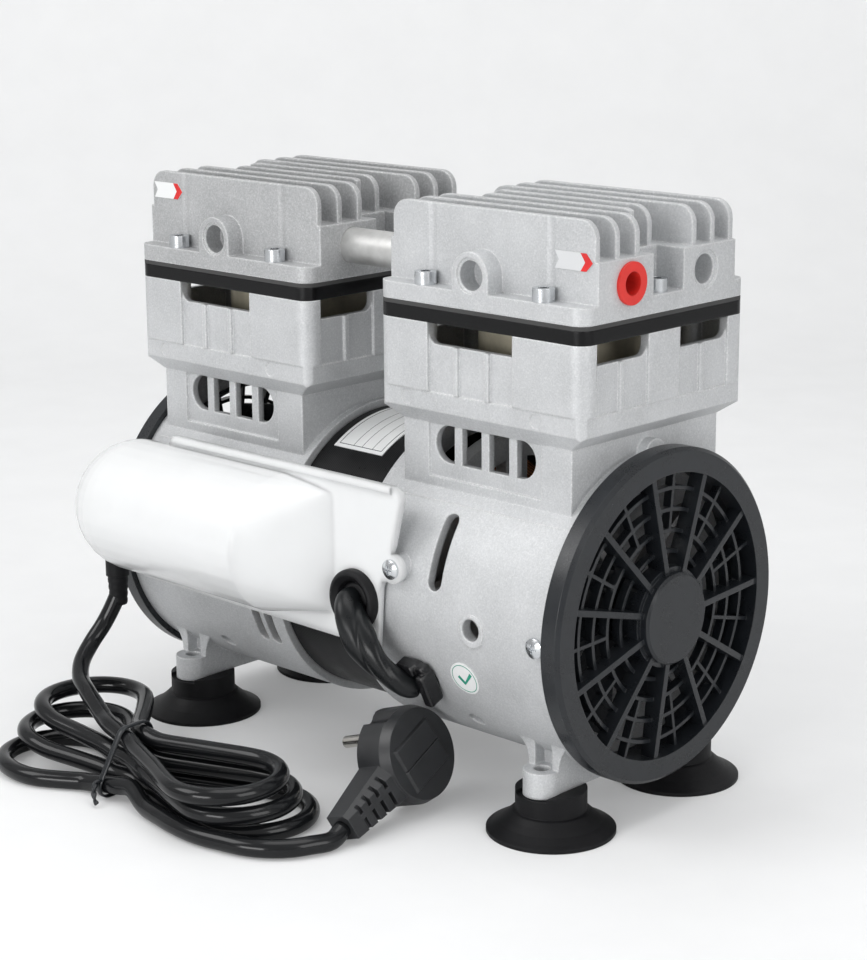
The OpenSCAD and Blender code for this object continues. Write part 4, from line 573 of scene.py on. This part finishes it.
def make_cord():
    path = cord_path() + FLOOR
    cord = tube("mains_cord", path, lambda share, a: CORD_R, 20, (1, 0, 0))
    ride(cord, CORD)
    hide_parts("cord_drop", "cord_hank", "cord_tail")
    length = float(np.linalg.norm(np.diff(path, axis=0), axis=1).sum()) * MM
    return cord, path * MM, length


cord, cord_line, cord_length = make_cord()


def make_relief():
    """Tapered strain relief with fine rings, where the cord leaves the cover."""
    length = 22
    top = np.array([-108.0, -79.0, 78.0]) + FLOOR
    path = [top - np.array([0, 0, z]) for z in np.linspace(0, length, length + 1)]

    def section(share, a):
        ring = 0.25 if int(share * length) % 3 == 1 else 0.0
        return 5.0 - 1.25 * share - ring

    return ride(tube("cord_relief", path, section, 24, (1, 0, 0)), RUBBER)


relief = make_relief()


def at_tie(point):
    """Point given across the bundle at its tie, with x along the runs."""
    a = TIE_TURN
    x, y, z = point
    return FLOOR + np.array([
        HANK_AT[0] + x * math.cos(a) - y * math.sin(a),
        HANK_AT[1] + x * math.sin(a) + y * math.cos(a), z])


def make_tie():
    """Wire tie: a flat band round the bundle."""
    r = CORD_R + TIE_GAP + 0.55
    low = CORD_R + FLOOR_GAP + TIE_T + TIE_GAP
    high = low + 2 * PITCH
    outline = []
    corners = (
        (-WAIST - EXIT_SHIFT, low, 270, 170), (-WAIST, high, 150, 90),
        (WAIST, high, 90, 0), (WAIST, low, 0, -90),
    )
    for cx, cz, a0, a1 in corners:
        outline += arc(cx, cz, r, a0, a1, 8)
    ring = np.array([(0.0, y, z) for y, z in outline + outline[:1]])
    d = directions(ring)
    n = len(ring) - 1
    profile = [
        (-1.4, -0.2), (-0.8, -0.5), (0.8, -0.5), (1.4, -0.2),
        (1.4, 0.2), (0.5, 0.5), (-0.5, 0.5), (-1.4, 0.2),
    ]
    verts, faces = [], []
    for i in range(n):
        side = np.cross(d[i], [1, 0, 0])
        verts += [at_tie(ring[i] + np.array([w, 0, 0]) + h * side) for w, h in profile]
    m = len(profile)
    for i in range(n):
        here, there = i * m, (i + 1) % n * m
        for k in range(m):
            q = (k + 1) % m
            faces.append((here + k, here + q, there + q, there + k))
    band = ride(new_object("cord_tie_band", verts, faces), BLACK_PLASTIC)
    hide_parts("cord_tie")
    return band


def make_tie_tail():
    """The two ends of the tie, twisted together and bent down at the front."""
    y = -WAIST - EXIT_SHIFT - CORD_R - TIE_GAP
    points = [
        (0, y - 0.4, 8.5), (0.4, y - 2.6, 7.6), (1.6, y - 4.6, 5.4), (3.4, y - 5.8, 3.0),
        (5.2, y - 6.4, 1.7),
    ]
    path = [at_tie(p) for p in spline(points, 0.4)]

    def section(share, a):
        return 1.0 * (1 + 0.4 * math.cos(2 * (a - 9.5 * share))) * (1 - 0.3 * share)

    twist = tube("cord_tie_twist", path, section, 16, (1, 0, 0))
    return ride(twist, BLACK_PLASTIC)


def rounded(obj, width, segments=3):
    """Rounds the piece's edges by a width in millimetres."""
    bevel = obj.modifiers.new("edges", "BEVEL")
    bevel.width = width * MM
    bevel.segments = segments
    bevel.limit_method = "ANGLE"
    return obj


def make_plug_panel():
    """Raised grip panel on the plug's back, in two halves along its mould line."""
    low, high, half, seam = -10, 12, 9.4, 0.12
    verts, faces = [], []
    for side in (-1, 1):
        f = len(verts)
        for lift, grow in ((-0.4, 0.9), (1.1, 0.0)):
            a, b, c = low - grow, high + grow, half + grow
            for y, z in ((a, seam), (b, seam), (b, c), (a, c)):
                place = lift * PLUG_BACK + y * PLUG_OUT + side * z * PLUG_PINS
                verts.append(FLOOR + PLUG_AT + place)
        faces += [(f, f + 1, f + 2, f + 3), (f + 4, f + 5, f + 6, f + 7)]
        faces += [(f + i, f + (i + 1) % 4, f + 4 + (i + 1) % 4, f + 4 + i) for i in range(4)]
    return ride(rounded(new_object("plug_panel", verts, faces, False), 0.35), PLUG)


tie, tie_twist = make_tie(), make_tie_tail()
plug_panel = make_plug_panel()

# Middle of the grommet, and the sleeved lead's line from it to the bush, from the shaft
GROMMET_X, GROMMET_Z = 24.4, 1.1
LEAD = [
    [GROMMET_X, -66.8, GROMMET_Z], [25.6, -71.0, 0.5], [28.8, -73.9, -2.6], [32.9, -75.2, -8.0],
    [37.1, -75.0, -13.8], [41.2, -73.4, -19.2], [44.9, -70.6, -23.4], [47.9, -67.4, -26.4],
    [50.1, -64.4, -28.4], [51, -61.6, -28.8],
]


def make_lead():
    """Flattened, twisted sleeve that carries the capacitor's wires."""
    path = spline(np.array(LEAD, float), 0.6) + SHAFT
    twist = math.radians(215)
    # Angle, depth and width of the creases
    creases = ((0.9, 0.85, 0.28), (2.6, 0.4, 0.2), (4.3, 0.7, 0.3))

    def section(share, a):
        grow = math.sin(math.pi * share) ** 0.6
        wave = 0.25 * grow * math.sin(17 * share)
        wide, thick = 5.2 + 1.8 * grow + wave, 4.3 + 0.5 * grow
        phi = a - twist * share - 0.4
        r = wide * thick / math.hypot(thick * math.cos(phi), wide * math.sin(phi))
        for at, depth, width in creases:
            off = phi - at - 0.5 * share
            off = math.atan2(math.sin(off), math.cos(off))
            r -= depth * grow * math.exp(-(off / width) ** 2)
        return r

    lead = ride(tube("capacitor_lead", path, section, 64), SLEEVE)
    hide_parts("lead_sleeve")


make_lead()


def make_grommet_hole_shade():
    """Dark rubber plug inside the grommet's hole round the sleeve: painted shade that darkens the
    hole.
    """
    face = min(corner[1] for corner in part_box("cover_grommet")) / MM
    path = [
        np.array([GROMMET_X, face + depth, SHAFT_Z + GROMMET_Z]) for depth in (5.0, 4.0, 3.0, 2.6)
    ]
    hole_shade = tube("grommet_hole_shade", path, lambda share, a: 7.4 - 1.5 * share ** 3, 40)
    ride(hole_shade, RUBBER)


make_grommet_hole_shade()


def block(center, axes, low, high):
    """Corners and faces of a block between two corners given along three axes."""
    verts = []
    for z in (0, 1):
        for x, y in ((0, 0), (1, 0), (1, 1), (0, 1)):
            pick = [(low, high)[k][i] for i, k in enumerate((x, y, z))]
            verts.append(center + sum(p * axis for p, axis in zip(pick, axes)))
    faces = [(0, 1, 2, 3), (4, 5, 6, 7), (0, 1, 5, 4), (1, 2, 6, 5), (2, 3, 7, 6), (3, 0, 4, 7)]
    return verts, faces


def make_bush_clip():
    """Glossy clamp that closes round the sleeve where it enters the housing."""
    bush_x, drum_r = 51.0, 63.3
    a = math.radians(-25)
    out = np.array([0.0, -math.cos(a), math.sin(a)])
    up = np.array([0.0, math.sin(a), math.cos(a)])
    center = SHAFT + np.array([bush_x, 0, 0]) + drum_r * out
    axes = (np.array([1.0, 0, 0]), up, out)
    # Lower and upper corners: along the shaft, up and out of the drum
    blocks = (
        ((4.4, -8.2, 0.0), (9.0, 6.4, 7.6)), ((-6.0, 4.9, 0.0), (3.4, 9.4, 6.6)),
        ((2.0, 3.6, 0.0), (7.6, 8.8, 5.0)),
    )
    verts, faces = [], []
    for low, high in blocks:
        v, f = block(center, axes, low, high)
        faces += [tuple(len(verts) + i for i in face) for face in f]
        verts += v
    clip = rounded(new_object("bush_clip", verts, faces, False), 1.3, 4)
    ride(clip, BLACK_GLOSS)


make_bush_clip()


# Labels

# Lower edge of the rating plate as an angle round the shaft, its height and the radius it lies on
PLATE_TURN, PLATE_SPAN, PLATE_R = 56, 36, 60.06
# Middle and radius of the round label's place
TICK_X, TICK_TURN, TICK_R = 75.5, -20, 63.46
# Lower left corners of the two port labels, and the place just in front of their faces
PORT_LABELS = ((-120.6, 225.1), (103.1, 217.9))
CHEVRON_Y = min(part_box("arrow_labels")[0][1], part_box("arrow_labels")[1][1]) * 1000 - 0.01


def on_drum(x, s, angle, r):
    """Point on a cylinder round the shaft, s millimetres round from an angle."""
    a = math.radians(angle) + s / r
    return SHAFT + np.array([x, -r * math.cos(a), r * math.sin(a)])


def drum_patch(verts, faces, outline, angle, r, height):
    """Thin flat piece with a four-cornered outline, wrapped on a cylinder."""
    first = len(verts)
    steps = 12
    for i in range(steps + 1):
        q = i / steps
        for lift in (0.0, height):
            for a, b in ((0, 3), (1, 2)):
                x = outline[a][0] * (1 - q) + outline[b][0] * q
                s = outline[a][1] * (1 - q) + outline[b][1] * q
                verts.append(on_drum(x, s, angle, r + lift))
    for i in range(steps):
        f = first + 4 * i
        faces += [
            (f, f + 1, f + 5, f + 4), (f + 2, f + 6, f + 7, f + 3),
            (f, f + 4, f + 6, f + 2), (f + 1, f + 3, f + 7, f + 5),
        ]
    f = first + 4 * steps
    faces += [(first, first + 2, first + 3, first + 1), (f, f + 1, f + 3, f + 2)]


def make_nameplate_rules():
    """Ruled border and columns of the bare rating plate."""
    margin, height = 1.9, 0.05
    left, right = -19.1, 4.6
    low, high = margin, math.radians(PLATE_SPAN) * PLATE_R - margin
    verts, faces = [], []
    for x, w in ((left, 0.3), (right, 0.3), (-11.3, 0.2), (-6.5, 0.2), (-0.6, 0.2)):
        w /= 2
        rule = [(x - w, low), (x + w, low), (x + w, high), (x - w, high)]
        drum_patch(verts, faces, rule, PLATE_TURN, PLATE_R, height)
    for s in (low, high):
        rule = [(left, s - 0.15), (right, s - 0.15), (right, s + 0.15), (left, s + 0.15)]
        drum_patch(verts, faces, rule, PLATE_TURN, PLATE_R, height)
    ride(new_object("nameplate_rules", verts, faces, False), INK)


def make_tick():
    """Green tick in a ring on the round label."""
    strokes = (
        [(72.2, 0.2), (73.2, 1.2), (75.6, -1.3), (75.2, -2.9)],
        [(75.2, -2.9), (75.6, -1.3), (79.0, 3.4), (80.0, 2.4)],
    )
    verts, faces = [], []
    for outline in strokes:
        drum_patch(verts, faces, outline, TICK_TURN, TICK_R, 0.05)
    inner, outer, count = 5.9, 6.2, 36
    for i in range(count):
        a0, a1 = (2 * math.pi * k / count for k in (i, i + 1))
        corners = ((inner, a0), (outer, a0), (outer, a1), (inner, a1))
        outline = [(TICK_X + q * math.cos(a), q * math.sin(a)) for q, a in corners]
        drum_patch(verts, faces, outline, TICK_TURN, TICK_R, 0.04)
    ride(new_object("round_label_tick", verts, faces, False), GREEN_INK)


def make_chevrons():
    """Red arrow heads of the two port labels."""
    outline = [(12.2, 6.6), (15.0, 6.6), (18.0, 3.3), (15.0, 0.0), (12.2, 0.0), (14.4, 3.3)]
    verts, faces = [], []
    for x, z in PORT_LABELS:
        f = len(verts)
        for lift in (0.0, 0.06):
            verts += [np.array([x + u, CHEVRON_Y - lift, z + v]) for u, v in outline]
        for g in (f, f + 6):
            faces += [(g, g + 1, g + 2, g + 5), (g + 5, g + 2, g + 3, g + 4)]
        faces += [(f + i, f + (i + 1) % 6, f + 6 + (i + 1) % 6, f + 6 + i) for i in range(6)]
    ride(new_object("label_chevrons", verts, faces, False), RED_INK)


make_nameplate_rules()
make_tick()
make_chevrons()


# Stage and light

def make_floor():
    """Pale floor that rises behind the pump, seen from the photograph's side."""
    size, rise, back, bend = 3.0, 1.6, 1.3, 0.5
    profile = [(-size, 0.0), (back - bend, 0.0)]
    for a in np.linspace(0.1, math.pi / 2, 12):
        profile.append((back - bend + bend * math.sin(a), bend - bend * math.cos(a)))
    profile.append((back, rise))
    toward_camera = CAMERA_AXES[2]
    heading = math.atan2(-toward_camera[1], -toward_camera[0])
    along = np.array([math.cos(heading), math.sin(heading)])
    side = np.array([-along[1], along[0]])
    verts, faces = [], []
    for s, z in profile:
        for w in (-size, size):
            at = along * s + side * w
            verts.append((at[0] * 1000, at[1] * 1000, z * 1000))
    for i in range(len(profile) - 1):
        faces.append((2 * i, 2 * i + 1, 2 * i + 3, 2 * i + 2))
    floor = new_object("floor", verts, faces)
    look = Look("pale_floor", (0.73, 0.735, 0.74), 0.6, specular=0.2)
    spots = look.noise(40, 3)
    look.paint(look.mix(spread(look, spots), (0.72, 0.725, 0.73), (0.74, 0.745, 0.75)))
    path = look.node("ShaderNodeLightPath")
    look.set("Emission Color", (1.0, 1.0, 1.0, 1.0))
    # A faint glow for the camera alone, stronger far away, where the lamps don't reach
    away = look.node("ShaderNodeVectorMath", operation="LENGTH")
    look.link(look.coords, away.inputs[0])
    glow = look.ramp(away.outputs["Value"], 1.2, 3.5, 0.15, 0.55)
    glow = look.math("MULTIPLY", path.outputs["Is Camera Ray"], glow)
    look.link(glow, look.shader.inputs["Emission Strength"])
    floor.data.materials.append(look.material)


def make_world():
    """Soft light that grows with height, over a near-white background."""
    world = bpy.data.worlds.new("studio")
    bpy.context.scene.world = world
    world.use_nodes = True
    nodes, links = world.node_tree.nodes, world.node_tree.links
    background = nodes["Background"]
    path = nodes.new("ShaderNodeLightPath")
    coords = nodes.new("ShaderNodeTexCoord")
    split = nodes.new("ShaderNodeSeparateXYZ")
    sky = nodes.new("ShaderNodeMapRange")
    sky.inputs["From Min"].default_value = -0.3
    sky.inputs["From Max"].default_value = 0.9
    sky.inputs["To Min"].default_value = 0.38
    sky.inputs["To Max"].default_value = 0.58
    pick = nodes.new("ShaderNodeMix")
    links.new(coords.outputs["Generated"], split.inputs["Vector"])
    links.new(split.outputs["Z"], sky.inputs["Value"])
    links.new(path.outputs["Is Camera Ray"], pick.inputs[0])
    links.new(sky.outputs["Result"], pick.inputs[2])
    pick.inputs[3].default_value = 0.92
    background.inputs["Color"].default_value = (1.0, 1.0, 1.0, 1.0)
    links.new(pick.outputs[0], background.inputs["Strength"])


LAMP_TARGET = Vector((0, 0, 0.1))


def softbox(name, at, size, power):
    """Rectangular lamp that faces the pump."""
    data = bpy.data.lights.new(name, "AREA")
    data.shape = "RECTANGLE"
    data.size, data.size_y = size
    data.energy = power
    lamp = bpy.data.objects.new(name, data)
    lamp.location = at
    lamp.rotation_euler = (LAMP_TARGET - Vector(at)).to_track_quat("-Z", "Y").to_euler()
    bpy.context.scene.collection.objects.link(lamp)


make_floor()
make_world()
softbox("key_left", (-0.7, -1.1, 1.25), (0.9, 0.9), 9.5)
softbox("top", (0.15, 0.1, 1.5), (1.1, 1.1), 7)
softbox("fill_right", (1.4, -0.1, 0.6), (0.8, 0.8), 6)
softbox("front_low", (0.25, -1.4, 0.3), (0.7, 0.4), 6)

scene = bpy.context.scene
scene.view_settings.view_transform = "Standard"
